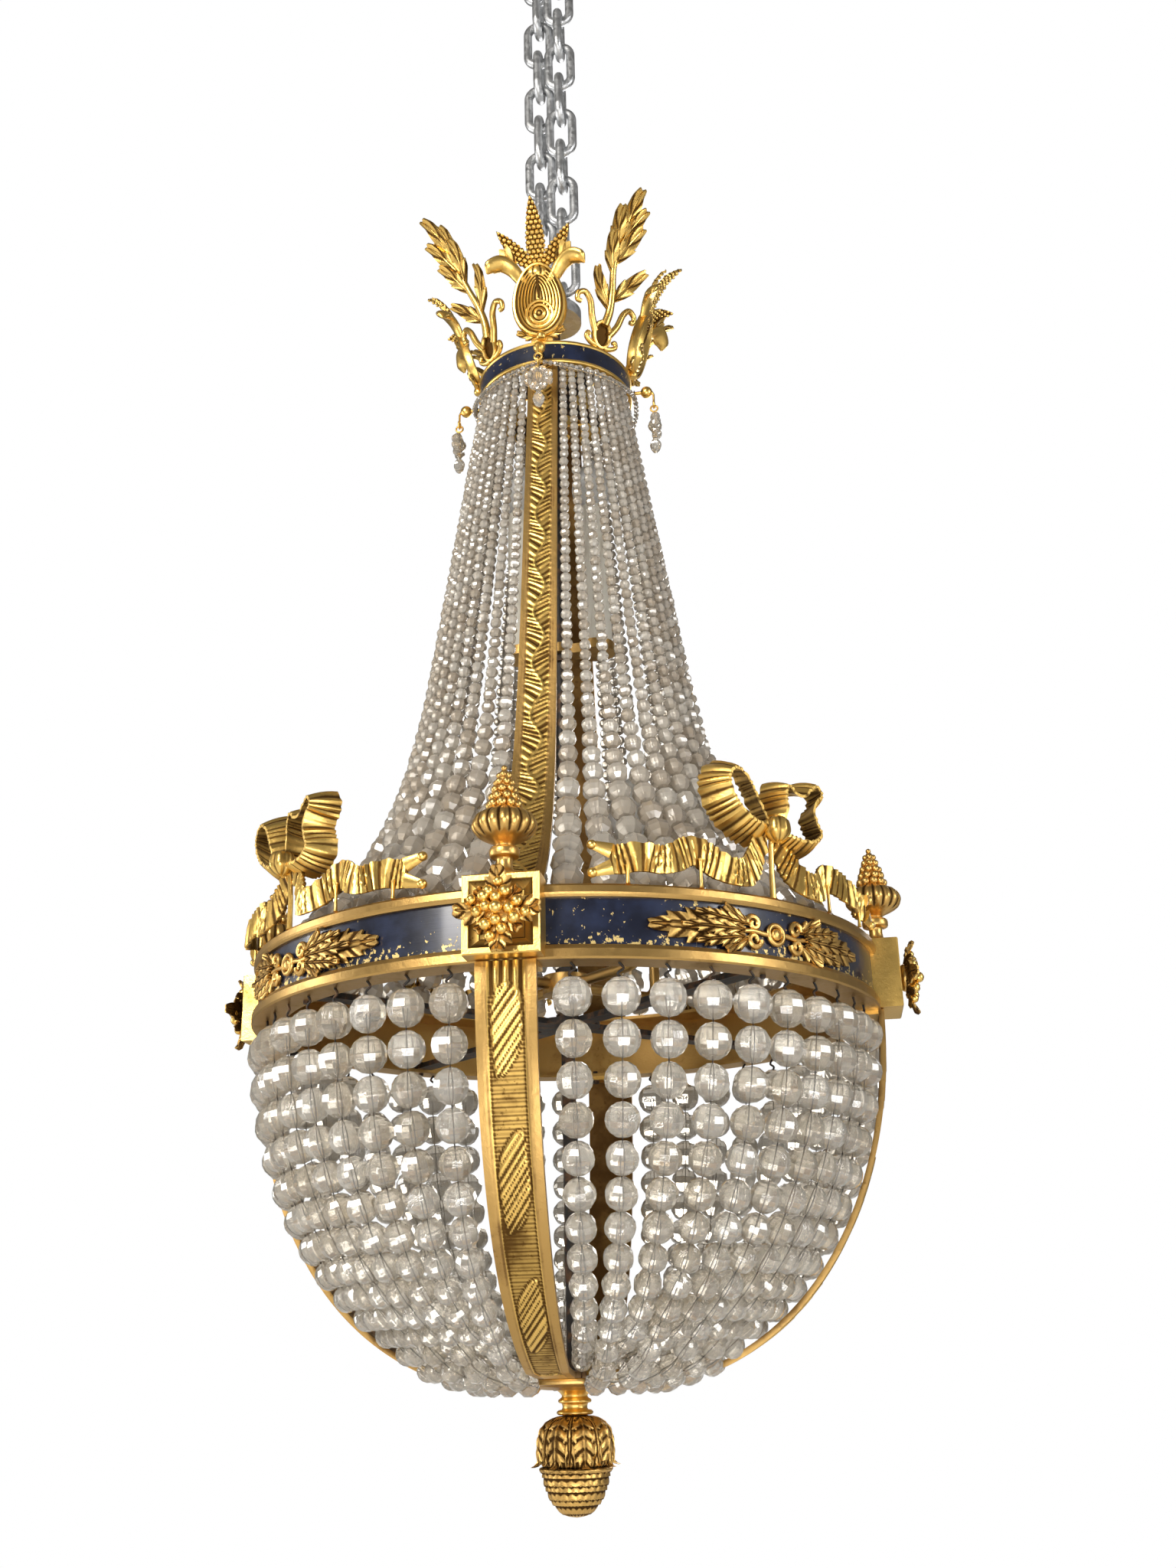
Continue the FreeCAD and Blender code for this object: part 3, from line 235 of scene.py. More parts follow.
def crystal(clear, warm, weight, rough):
    """Cut glass: every bead has its own tint, with fine scratches and a little dust."""
    def paint(graph):
        dust = graph.noise(700.0)
        return graph.surface(graph.blend(graph.attribute("tint"), clear, warm),
                             rough + dust.above(0.5, 0.8) * 0.12, graph.bump(dust, 0.0004, 0.25),
                             IOR=1.54, Transmission_Weight=weight, Coat_Weight=0.6,
                             Coat_Roughness=0.03)
    return paint


def zinc(graph):
    """Galvanised steel with grey crystals of zinc."""
    cells = {"Vector": graph.place(), "Scale": 260.0}
    grains = graph.node("ShaderNodeTexVoronoi", None, cells, "Color")
    grey = graph.node("ShaderNodeSeparateColor", None, (grains,))
    fine = graph.noise(600.0)
    return graph.surface(graph.blend(grey * 0.6 + fine * 0.4, (0.5, 0.51, 0.52), (0.78, 0.79, 0.8)),
                         0.3 + grey * 0.15 + fine * 0.12, graph.bump(fine, 0.0005, 0.5),
                         Metallic=1.0)


def candle_card(graph):
    """Cream card of the candle sleeves, with a little dust that runs down."""
    streaks = graph.noise(240.0, upright=0.12)
    fine = graph.noise(900.0, 2.0)
    return graph.surface(graph.blend(streaks.above(0.45, 0.75), (0.8, 0.77, 0.68), (0.6, 0.55, 0.45)),
                         0.5 + fine * 0.2, graph.bump(fine, 0.0003, 0.4))


def clouded(scale, detail, first, second, rough, spread, levels=None, relief=None, **more):
    """One noise that mixes two colours and varies the gloss."""
    def paint(graph):
        cloud = graph.noise(scale, detail)
        share = cloud.above(*levels) if levels else cloud
        normal = graph.bump(cloud, *relief) if relief else None
        return graph.surface(graph.blend(share, first, second), rough + cloud * spread, normal, **more)
    return paint


def pale_floor(graph):
    """Pale painted floor; the camera sees it nearly evenly lit."""
    paint = clouded(1.6, 3.0, (0.84, 0.83, 0.81), (0.81, 0.8, 0.78), 0.7, 0.1)(graph)
    glow = graph.node("ShaderNodeEmission", None, ((0.95, 0.95, 0.94, 1), 1.0))
    seen = graph.node("ShaderNodeLightPath", output="Is Camera Ray")
    return graph.node("ShaderNodeMixShader", None, (seen * 0.78, paint, glow))


gilt = material("gilt_bronze", gilding((0.88, 0.58, 0.165), (0.11, 0.055, 0.014), 0.5, 0.27))
aged_gilt = material("aged_gilt", gilding((0.72, 0.45, 0.14), (0.075, 0.036, 0.01), 0.42, 0.3))
satin_gilt = material("satin_gilt", gilding((0.53, 0.33, 0.11), (0.17, 0.09, 0.03), 0.44, 0.3, 0.3))
blue_enamel = material("blue_enamel", enamel)
small_crystal = material("small_crystal", crystal((0.84, 0.79, 0.7), (0.66, 0.57, 0.45), 0.62, 0.05))
large_crystal = material("large_crystal", crystal((0.92, 0.88, 0.8), (0.78, 0.71, 0.59), 0.8, 0.02))
steel_zinc = material("galvanised_steel", zinc)
iron = material("dark_steel", clouded(130.0, 4.0, (0.045, 0.042, 0.04), (0.16, 0.09, 0.05), 0.42, 0.25,
                                      (0.45, 0.7), (0.0005, 0.5), Metallic=0.8))
cream_card = material("cream_card", candle_card)
holder_plastic = material("holder_plastic", clouded(800.0, 3.0, (0.02, 0.02, 0.02),
                                                    (0.05, 0.048, 0.045), 0.4, 0.2,
                                                    relief=(0.0003, 0.4)))
bulb_glass = material("bulb_glass", clouded(500.0, 3.0, (0.86, 0.86, 0.84), (0.7, 0.7, 0.68), 0.25, 0.2,
                                            Transmission_Weight=0.35, Coat_Weight=0.3))


# Forms

def unit(x):
    """Keeps values between 0 and 1."""
    return np.clip(x, 0, 1)


def bell(x, middle, width):
    """1 at the middle, and 0 a few widths away."""
    return np.exp(-((x - middle) / width) ** 2)


def wave(turns):
    """Swings between 1 and 0, once for each turn."""
    return 0.5 + 0.5 * np.cos(2 * np.pi * turns)


def rotation(degrees, axis="Z"):
    return np.array(Matrix.Rotation(math.radians(degrees), 3, axis))


def circle(sides):
    return np.linspace(0, 2 * np.pi, sides, endpoint=False)


def on_circle(r, angle, z):
    """Points at a radius, an angle and a height, each a number or an array."""
    return np.stack(np.broadcast_arrays(r * np.cos(angle), r * np.sin(angle), z), -1)


def polar(r, degrees, z):
    return on_circle(r, math.radians(degrees), z)


class Form:
    """Points and faces in the frame of the ring, with the depth of recesses, painted as shade, and
    tones of faces.
    """

    def __init__(self, points, faces, recess=None, tone=None):
        self.points = np.array(points, float).reshape(-1, 3)
        self.faces = list(faces)
        self.recess = np.zeros(len(self.points)) if recess is None else np.array(recess, float).ravel()
        self.tone = [0] * len(self.faces) if tone is None else list(tone)

    def mapped(self, change):
        return Form(change(self.points), self.faces, self.recess, self.tone)

    def moved(self, x=0.0, y=0.0, z=0.0):
        return self.mapped(lambda p: p + (x, y, z))

    def stretched(self, x=1.0, y=1.0, z=1.0):
        return self.mapped(lambda p: p * (x, y, z))

    def turned(self, degrees, axis="Z", about=(0, 0, 0)):
        return self.mapped(lambda p: (p - about) @ rotation(degrees, axis).T + about)


def joined(forms):
    points, faces, recess, tone, first = [], [], [], [], 0
    for form in forms:
        points.append(form.points)
        recess.append(form.recess)
        faces += [tuple(i + first for i in face) for face in form.faces]
        tone += form.tone
        first += len(form.points)
    return Form(np.concatenate(points), faces, np.concatenate(recess), tone)


def around(form, start=0.0):
    return joined([form.turned(start + 90.0 * i) for i in range(4)])


def line_through(points, steps=6):
    """A smooth line through points in any number of dimensions."""
    p = np.array(points, float)
    p = np.concatenate([[2 * p[0] - p[1]], p, [2 * p[-1] - p[-2]]])
    line = []
    for i in range(1, len(p) - 2):
        for u in np.arange(steps) / steps:
            line.append(0.5 * (2 * p[i] + (p[i + 1] - p[i - 1]) * u
                               + (2 * p[i - 1] - 5 * p[i] + 4 * p[i + 1] - p[i + 2]) * u * u
                               + (3 * p[i] - p[i - 1] - 3 * p[i + 1] + p[i + 2]) * u ** 3))
    line.append(p[-2])
    return np.array(line)


def distances(line):
    """How far along a line each of its points lies, by the first two numbers."""
    gaps = np.linalg.norm(np.diff(line[:, :2], axis=0), axis=1)
    return np.concatenate([[0], np.cumsum(gaps)])


def spread(line, step):
    """Points at an even distance along a line of points."""
    line = np.array(line, float)
    at = distances(line)
    want = np.linspace(0, at[-1], int(at[-1] / step) + 1)
    return np.stack([np.interp(want, at, line[:, k]) for k in range(line.shape[1])], 1)


def headings(line):
    way = np.gradient(line, axis=0)
    return way / np.linalg.norm(way, axis=1)[:, None]


def loft(loops, recess=None, closed=False, tones=None):
    """Faces between closed loops of points; flat faces close both ends."""
    loops = np.asarray(loops, float)
    rows, columns = loops.shape[:2]
    faces, tone = [], []
    for i in range(rows if closed else rows - 1):
        a, b = i * columns, (i + 1) % rows * columns
        for j in range(columns):
            k = (j + 1) % columns
            faces.append((a + j, a + k, b + k, b + j))
            tone.append(0 if tones is None else tones[j])
    if not closed:
        faces.append(tuple(range(columns - 1, -1, -1)))
        faces.append(tuple(range((rows - 1) * columns, rows * columns)))
        tone += [0, 0]
    return Form(loops, faces, recess, tone)


def block(x, half, z):
    """A box between two distances from the axis and two heights."""
    return loft([[(x[0], -half, h), (x[1], -half, h), (x[1], half, h), (x[0], half, h)] for h in z])


def tube(path, radius, sides=10, flat=1.0, closed=False):
    """A round bar along a path, thicker or thinner from point to point."""
    path = np.asarray(path, float)
    ahead = headings(path)
    if closed:
        ahead = np.roll(path, -1, 0) - np.roll(path, 1, 0)
        ahead /= np.linalg.norm(ahead, axis=1)[:, None]
    side = np.cross(ahead[0], (0.31, 0.17, 0.93))
    turn = circle(sides)[:, None]
    loops = []
    for point, way, r in zip(path, ahead, np.broadcast_to(radius, len(path))):
        side = side - way * side.dot(way)
        side = side / np.linalg.norm(side)
        other = np.cross(way, side)
        loops.append(point + r * (np.cos(turn) * side + flat * np.sin(turn) * other))
    return loft(loops, closed=closed)


def tapered(points, first, last, sides=10, steps=6):
    """A round bar along a smooth line, from one radius to another."""
    line = line_through(points, steps)
    return tube(line, np.linspace(first, last, len(line)), sides)


def lathe(profile, sides=48, steps=6, swell=None):
    """A profile of (radius, height) turned about Z; swell gives added radius and recess, painted as
    shade.
    """
    line = line_through(profile, steps)
    turn = circle(sides)[None, :]
    r = np.maximum(line[:, :1], 0.03) * np.ones_like(turn)
    z = line[:, 1:] * np.ones_like(turn)
    recess = np.zeros_like(r)
    if swell:
        added, recess = swell(turn, z, r)
        r = r + added
        recess = np.broadcast_to(recess, r.shape)
    return loft(on_circle(r, turn, z), recess)


def nested(rings, outline):
    """Nested outlines facing +X, from the back to the centre; rings are (inset, x, recess painted as
    shade).
    """
    loops = [[(x, y, z) for y, z in outline(inset)] for inset, x, depth in rings]
    return loft(loops, [[ring[2]] * len(loops[0]) for ring in rings])


def dish(rings, half_y, half_z, sides=48):
    def outline(inset):
        return zip(max(half_y - inset, 0.05) * np.cos(circle(sides)),
                   max(half_z - inset, 0.05) * np.sin(circle(sides)))
    return nested(rings, outline)


def framed(rings, half_y, half_z):
    def outline(inset):
        y, z = half_y - inset, half_z - inset
        return (-y, -z), (y, -z), (y, z), (-y, z)
    return nested(rings, outline)


def leaf_body(S, T, width, rise, ahead, length, thick, curl, dark):
    """Closes a leaf whose face rises by given heights, and bends its tip outwards by an angle."""
    bend = math.radians(curl) * S ** 2
    step = length * (S[1, 0] - S[0, 0])
    line_x = np.cumsum(np.sin(bend), 0) * step
    line_z = np.cumsum(np.cos(bend), 0) * step

    def laid(out):
        return np.stack([line_x + out * np.cos(bend) + ahead * np.sin(bend), T * width,
                         line_z - out * np.sin(bend) + ahead * np.cos(bend)], 2)
    loops = np.concatenate([laid(rise + thick), laid(rise * 0.6)[:, ::-1]], 1)
    # Painted shade: the back of the leaf is half dark
    return loft(loops, np.concatenate([dark, np.full_like(dark, 0.5)], 1))


def acanthus(length, half_width, lobes=4, thick=1.4, curl=0.0, cup=0.1, relief=1.1, cut=0.42,
             foot=0.3, across=15, rows=8):
    """A cut leaf on the origin, tip up, facing +X."""
    s = np.linspace(0.0, 0.994, lobes * rows + 1)
    S, T = np.meshgrid(s, np.linspace(-1.0, 1.0, across), indexing="ij")
    rise = foot + (1 - foot) * np.sin(np.pi / 2 * unit(S / 0.36))
    fall = np.cos(np.pi / 2 * unit((S - 0.36) / 0.64)) ** 0.75
    phase = (S * lobes) % 1.0
    tooth = np.where(phase < 0.78, phase / 0.78, (1 - phase) / 0.22)
    width = half_width * np.minimum(rise, fall) * (1 - cut * (1 - tooth ** 0.8))
    leaning = (S * lobes - 0.5 * np.abs(T)) % 1.0
    groove = bell(np.minimum(leaning, 1 - leaning), 0, 0.13) * unit(np.abs(T) * 2.2)
    flank = bell(np.abs(T), 0.2, 0.09)
    rib = bell(T, 0, 0.13)
    depth = relief * (0.55 * rib - 0.75 * groove - 0.35 * flank + 0.35 * np.sin(np.pi * leaning))
    x = depth - cup * half_width * (T * width / half_width) ** 2
    ahead = np.abs(T) ** 1.4 * tooth * length / lobes * 0.32
    # Painted shade in the grooves and on the flanks of the leaf
    dark = unit(groove + 0.55 * flank * (1 - rib))
    return leaf_body(S, T, width, x, ahead, length, thick, curl, dark)


def berry_leaf(length, half_width, curl, grain=4.0, thick=1.6):
    """A pointed leaf made of small berries, on the origin, tip up, facing +X."""
    S, T = np.meshgrid(np.linspace(0.0, 0.995, int(length / 0.7)), np.linspace(-1.0, 1.0, 19),
                       indexing="ij")
    row = S * length / grain
    width = half_width * np.minimum(0.35 + 0.65 * np.sin(np.pi / 2 * unit(S / 0.35)),
                                    np.cos(np.pi / 2 * unit((S - 0.35) / 0.65)) ** 0.8)
    width = width * (0.8 + 0.2 * np.abs(np.sin(np.pi * row)))
    column = T * width / grain + 0.5 * (np.floor(row) % 2)
    berry = np.abs(np.cos(np.pi * column)) * np.abs(np.sin(np.pi * row))
    # Painted shade in the hollows between the berries
    return leaf_body(S, T, width, 2.2 * berry ** 0.6 - 1.2, 0 * S, length, thick, curl,
                     unit(1.1 - 2.4 * berry))


def wrapped(form, radius):
    """Bends a form that stands in front of the plane x = 0 round a drum of that radius."""
    return form.mapped(lambda p: on_circle(radius + p[:, 0], p[:, 1] / radius, p[:, 2]))


# Pieces

def to_metres(points):
    return (np.asarray(points, float) + (0, 0, RING_TOP)) * 0.001


def dressed(name, node, mesh, coats, body):
    piece = bpy.data.objects.new(name, mesh)
    for coat in coats:
        mesh.materials.append(coat)
    bpy.context.scene.collection.objects.link(piece)
    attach(piece, body)
    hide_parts(node)


def read(items, name, width=3, kind=float):
    values = np.empty(len(items) * width, kind)
    items.foreach_get(name, values)
    return values.reshape(-1, width)


# Metres; longer edges count for less, so that large flat faces get no painted shade at their rims
FINE_DETAIL = 0.0025


def hollows(mesh):
    """How deep every point of a mesh lies between its neighbours, from 0 to 1."""
    mesh.update()
    count = len(mesh.vertices)
    place, normal = read(mesh.vertices, "co"), read(mesh.vertices, "normal")
    ends = read(mesh.edges, "vertices", 2, int)
    a, b = ends.T
    way = place[b] - place[a]
    reach = np.maximum(np.linalg.norm(way, axis=1), 1e-9)
    way *= (np.minimum(1.0, FINE_DETAIL / reach) / reach)[:, None]
    deep = np.bincount(a, (way * normal[a]).sum(1), count)
    deep = deep - np.bincount(b, (way * normal[b]).sum(1), count)
    return unit(deep / np.maximum(np.bincount(ends.ravel(), minlength=count), 1) * 2.2)


def make_piece(name, node, form, coats=(gilt,), sharp=38.0, body=CHANDELIER):
    """A closed form as a piece; edges sharper than an angle stay sharp."""
    mesh = bpy.data.meshes.new(name)
    mesh.from_pydata(to_metres(form.points).tolist(), [], form.faces)
    work = bmesh.new()
    work.from_mesh(mesh)
    bmesh.ops.recalc_face_normals(work, faces=work.faces)
    work.to_mesh(mesh)
    work.free()
    # Painted shade: the form's recess values and the hollows of the mesh darken the gilding there
    dark = unit(form.recess + hollows(mesh))
    mesh.attributes.new("recess", "FLOAT", "POINT").data.foreach_set("value", dark)
    mesh.polygons.foreach_set("material_index", form.tone)
    mesh.polygons.foreach_set("use_smooth", [True] * len(mesh.polygons))
    mesh.set_sharp_from_angle(angle=math.radians(sharp))
    dressed(name, node, mesh, coats, body)


def new_tree(name, inputs, output, grow):
    """A tree of named inputs, whose result comes from grow(graph, input by name)."""
    tree = bpy.data.node_groups.new(name, "GeometryNodeTree")
    for label, kind in inputs:
        tree.interface.new_socket(label, in_out="INPUT", socket_type="NodeSocket" + kind)
    tree.interface.new_socket(output, in_out="OUTPUT", socket_type="NodeSocketGeometry")
    graph = Graph(tree)
    result = grow(graph, graph.node("NodeGroupInput").other)
    graph.node("NodeGroupOutput", None, (result,))
    return tree


def cut_beads(graph, given):
    """A cut bead on every point, as large as its size and threaded along its axis."""
    def chance(highest):
        return graph.node("FunctionNodeRandomValue", {"data_type": "FLOAT"},
                          {2: 0.0, 3: highest, "Seed": given("Seed")}, 1)
    bead = graph.node("GeometryNodeMeshUVSphere", None, (given("Facets"), given("Rings"), 0.5))
    aligned = graph.node("FunctionNodeAlignRotationToVector", {"axis": "Z"},
                         {"Vector": graph.named("axis", "FLOAT_VECTOR")})
    twist = graph.node("FunctionNodeAxisAngleToRotation", None,
                       {"Axis": (0, 0, 1), "Angle": chance(6.283)})
    turned = graph.node("FunctionNodeRotateRotation", {"rotation_space": "LOCAL"},
                        {"Rotation": aligned, "Rotate By": twist})
    size = graph.node("ShaderNodeCombineXYZ", None, [graph.named("size")] * 3)
    placed = graph.node("GeometryNodeInstanceOnPoints", None,
                        {"Points": given("Points"), "Instance": bead,
                         "Rotation": turned, "Scale": size})
    tinted = graph.node("GeometryNodeStoreNamedAttribute",
                        {"data_type": "FLOAT", "domain": "INSTANCE"},
                        {"Geometry": placed, "Name": "tint", "Value": chance(1.0)})
    real = graph.node("GeometryNodeRealizeInstances", None, {"Geometry": tinted})
    shaded = graph.node("GeometryNodeSetShadeSmooth", None,
                        {0: real, "Shade Smooth": given("Smooth")})
    return graph.node("GeometryNodeSetMaterial", None,
                      {"Geometry": shaded, "Material": given("Coat")})


def round_wires(graph, given):
    """A round wire along every chain of edges."""
    line = graph.node("GeometryNodeMeshToCurve", None, {0: given("Lines")})
    ring = graph.node("GeometryNodeCurvePrimitiveCircle", {"mode": "RADIUS"},
                      {"Resolution": given("Sides"), "Radius": given("Radius")})
    bar = graph.node("GeometryNodeCurveToMesh", None,
                     {"Curve": line, "Profile Curve": ring, "Fill Caps": True})
    coated = graph.node("GeometryNodeSetMaterial", None,
                        {"Geometry": bar, "Material": given("Coat")})
    return graph.node("GeometryNodeRealizeInstances", None, {"Geometry": coated})


BEADS = new_tree("beads_on_points", (("Points", "Geometry"), ("Facets", "Int"), ("Rings", "Int"),
                                     ("Smooth", "Bool"), ("Seed", "Int"), ("Coat", "Material")),
                 "Beads", cut_beads)
WIRES = new_tree("wires_on_edges", (("Lines", "Geometry"), ("Radius", "Float"), ("Sides", "Int"),
                                    ("Coat", "Material")), "Wires", round_wires)


def grown(name, mesh, tree, settings):
    """The mesh that a node tree makes of a given mesh."""
    seed = bpy.data.objects.new(name + "_start", mesh)
    bpy.context.scene.collection.objects.link(seed)
    modifier = seed.modifiers.new("grow", "NODES")
    modifier.node_group = tree
    for item in tree.interface.items_tree:
        if item.in_out == "INPUT" and item.name in settings:
            modifier[item.identifier] = settings[item.name]
    bpy.context.view_layer.update()
    shown = seed.evaluated_get(bpy.context.evaluated_depsgraph_get())
    result = bpy.data.meshes.new_from_object(shown)
    bpy.data.objects.remove(seed)
    result.name = name
    result.materials.clear()
    result.polygons.foreach_set("material_index", [0] * len(result.polygons))
    return result


def bead_piece(name, node, centres, sizes, axes, coat, seed, facets=8, rings=6, smooth=False,
               body=CHANDELIER):
    mesh = bpy.data.meshes.new(name + "_points")
    mesh.from_pydata(to_metres(centres).tolist(), [], [])
    mesh.attributes.new("size", "FLOAT", "POINT").data.foreach_set("value", np.array(sizes) * 0.001)
    mesh.attributes.new("axis", "FLOAT_VECTOR", "POINT").data.foreach_set(
        "vector", np.array(axes, float).ravel())
    result = grown(name, mesh, BEADS, {"Facets": facets, "Rings": rings, "Smooth": smooth,
                                       "Seed": seed, "Coat": coat})
    dressed(name, node, result, (coat,), body)


def wire_piece(name, node, lines, radius, sides, coat=iron, body=CHANDELIER):
    points, edges = [], []
    for line in lines:
        edges += [(len(points) + i, len(points) + i + 1) for i in range(len(line) - 1)]
        points += list(line)
    mesh = bpy.data.meshes.new(name + "_lines")
    mesh.from_pydata(to_metres(points).tolist(), edges, [])
    result = grown(name, mesh, WIRES, {"Radius": radius * 0.001, "Sides": sides, "Coat": coat})
    dressed(name, node, result, (coat,), body)


def strand_pieces(family, number, strands, coat, facets, rings, seed, wire, sides):
    """Beads and wires of one quarter; strands are (centres, sizes, axes, line of the wire)."""
    centres, sizes, axes, lines = zip(*strands)
    node = "%s_strands_%d" % (family, number)
    bead_piece("%s_beads_%d" % (family, number), node, np.concatenate(centres),
               np.concatenate(sizes), np.concatenate(axes), coat, seed, facets, rings)
    wire_piece("%s_wires_%d" % (family, number), node, lines, wire, sides)


def berries_on_blocks(name, node, berries, sizes, coat, axis, facets, rings, seed):
    """Round berries on all four blocks."""
    points = [np.array(berries) @ rotation(90 * k).T for k in range(4)]
    bead_piece(name, node, np.concatenate(points), sizes * 4, [axis] * 4 * len(sizes), coat, seed,
               facets, rings, True)


# Profiles of the tent and the basket

def down_cone(z):
    return max(0.0, 1.0 - z / CONE_TOP)


def cone_radius(z):
    t = down_cone(z)
    return CONE_TOP_RADIUS + (CONE_FOOT_RADIUS - CONE_TOP_RADIUS) * 0.5 * (t + t ** 8)


def strap_width(z):
    t = down_cone(z)
    return 24.0 + 13.0 * (0.55 * t + 0.45 * t ** 6)


def upper_bead(z):
    t = down_cone(z)
    s = min(1.0, max(0.0, (t - 0.57) / 0.4))
    return TOP_BEAD + 4.2 * t + (FOOT_BEAD - TOP_BEAD - 4.7) * s * s * (3 - 2 * s)


def basket_share(z):
    return min(1.0, max(0.0, (BASKET_TOP - z) / BASKET_DEPTH))


def basket_radius(z):
    return BASKET_RADIUS * max(0.0, 1 - basket_share(z) ** 2) ** (1 / BASKET_POWER)


def off_basket(r, z, away):
    """A point moved off the profile of the basket, square to it."""
    slope = basket_radius(z - 0.5) - basket_radius(z + 0.5)
    length = math.hypot(slope, 1.0)
    return r + away / length, z + away * slope / length


def rib_width(z):
    s = basket_share(z)
    return 38.0 - 4 * s - 10.0 * s ** 6


def next_height(z, gap, centre, lowest=-1000.0):
    """The height below z where the next bead of a strand is a given distance away."""
    low, high, here = max(z - 30.0, lowest), z, centre(z)
    for _ in range(40):
        middle = (low + high) / 2
        if np.linalg.norm(centre(middle) - here) > gap(middle):
            low = middle
        else:
            high = middle
    return high


# Strands of the tent

def upper_centre(index, z):
    r = cone_radius(z)
    edge = math.degrees(math.asin((strap_width(z) / 2 + 0.6) / r))
    return polar(r, edge + (90 - 2 * edge) * (index + 0.5) / STRANDS_PER_QUARTER, z)


def upper_heights(index):
    heights = [CROWN_BOTTOM - TOP_BEAD / 2]
    while True:
        z = heights[-1]
        low = next_height(z, lambda m: 0.99 * (upper_bead(z) + upper_bead(m)) / 2,
                          lambda m: upper_centre(index, m))
        if low < upper_bead(low) / 2 + 0.2:
            return heights
        heights.append(low)


def make_cone_strands():
    chance = np.random.default_rng(7)
    quarter = []
    for index in range(STRANDS_PER_QUARTER):
        heights = upper_heights(index)
        quarter.append((np.array([upper_centre(index, z) for z in heights]),
                        np.array([upper_bead(z) for z in heights])))
    for number in range(4):
        strands = []
        for centres, sizes in quarter:
            centres = centres @ rotation(90 * number).T
            jitter = chance.normal(0, 0.02, centres.shape) * sizes[:, None]
            foot = (centres[-1, 0], centres[-1, 1], 0.4)
            strands.append((centres + jitter, sizes * chance.uniform(0.955, 1.0, len(sizes)),
                            np.gradient(centres, axis=0), np.concatenate([centres, [foot]])))
        strand_pieces("cone", number + 1, strands, small_crystal, 8, 6, number, 0.5, 4)


# Strands of the basket

def basket_path():
    """Radius, height and size of the beads of a strand, from the ring down."""
    beads = [(basket_radius(BASKET_FIRST_Z), BASKET_FIRST_Z, BASKET_FIRST_BEAD)]
    for index in range(1, BASKET_BEADS):
        size = BASKET_FIRST_BEAD * BASKET_SHRINK ** index
        gap = BASKET_PITCH * (beads[-1][2] + size) / 2
        z = next_height(beads[-1][1], lambda m: gap, lambda m: np.array((basket_radius(m), m)),
                        BASKET_TOP - BASKET_DEPTH + 0.01)
        beads.append((basket_radius(z), z, size))
    return beads


def basket_bead(index, bead):
    r, z, size = bead
    down = max(0.0, (BASKET_RADIUS - r) / (BASKET_RADIUS - PLATE_RADIUS))
    share = index / (STRANDS_PER_QUARTER - 1)
    top, low = 10 + 70.0 * share, 14 + 59.0 * share
    layer = BASKET_LAYER * min(1.0, max(0.0, (125.0 - r) / 25.0))
    r, z = off_basket(r, z, layer if index % 2 else -layer)
    return polar(r, top + (low - top) * down, z)


# A wire hook above a strand, as distances along the ring and up
HOOK_LINE = ((0, -1.0), (1.9, 1.2), (0.4, 2.9), (-1.9, 4.6), (-0.6, 7.0), (0.9, 8.5))


def outward(point):
    return np.array((point[0], point[1], 0)) / math.hypot(point[0], point[1])


def make_basket_strands():
    chance = np.random.default_rng(11)
    path = basket_path()
    size = np.array([bead[2] for bead in path])
    hooks = []
    for number in range(4):
        strands = []
        for index in range(STRANDS_PER_QUARTER):
            centres = np.array([basket_bead(index, bead) for bead in path]) @ rotation(90 * number).T
            end = centres[-1]
            seat = outward(end) * (PLATE_RADIUS - 1.5) + (0, 0, PLATE_TOP)
            if index % 2:
                seat = outward(end) * PLATE_RADIUS + (0, 0, end[2])
            strands.append((centres, size * chance.uniform(0.965, 1.0, len(size)),
                            np.gradient(centres, axis=0), np.concatenate([centres, [seat]])))
            top = centres[0] + (0, 0, size[0] / 2)
            along = np.cross(outward(top), (0, 0, 1))
            hooks.append(line_through([top + along * side + (0, 0, up) for side, up in HOOK_LINE], 4))
        strand_pieces("basket", number + 1, strands, large_crystal, 10, 8, 20 + number, 0.4, 5)
    wire_piece("basket_hooks", "strand_hooks", hooks, 0.85, 6)


# Garland and hanging flowers of the crown

def make_swags():
    first = 2.6
    eye = [(HOOK_EYE_X, 2.15 * math.cos(a), HOOK_EYE_Z + 2.15 * math.sin(a))
           for a in np.linspace(0, 2 * np.pi, 13)]
    centres, axes, lines = [], [], []
    for quarter in range(4):
        row = []
        for i in range(SWAG_BEADS):
            share = (first + (90 - 2 * first) * i / (SWAG_BEADS - 1)) / 90.0
            z = SWAG_Z - SWAG_SAG * share * (1 - share)
            r = cone_radius(z) + (upper_bead(z) + SWAG_BEAD) / 2 + 0.8
            row.append(polar(r, 90 * (quarter + share), z))
        axes.append(np.gradient(np.array(row), axis=0))
        centres.append(row)
        lines.append(row)
        for end, degrees in ((row[0], 90 * quarter), (row[-1], 90 * (quarter + 1))):
            lines.append([end, polar(HOOK_EYE_X, degrees, HOOK_EYE_Z - 2.2)])
            lines.append(np.array(eye) @ rotation(degrees).T)
    centres = np.concatenate(centres)
    bead_piece("swag_beads", "bead_swags", centres, np.full(len(centres), SWAG_BEAD),
               np.concatenate(axes), large_crystal, 31)
    wire_piece("swag_wires", "bead_swags", lines, 0.45, 5)


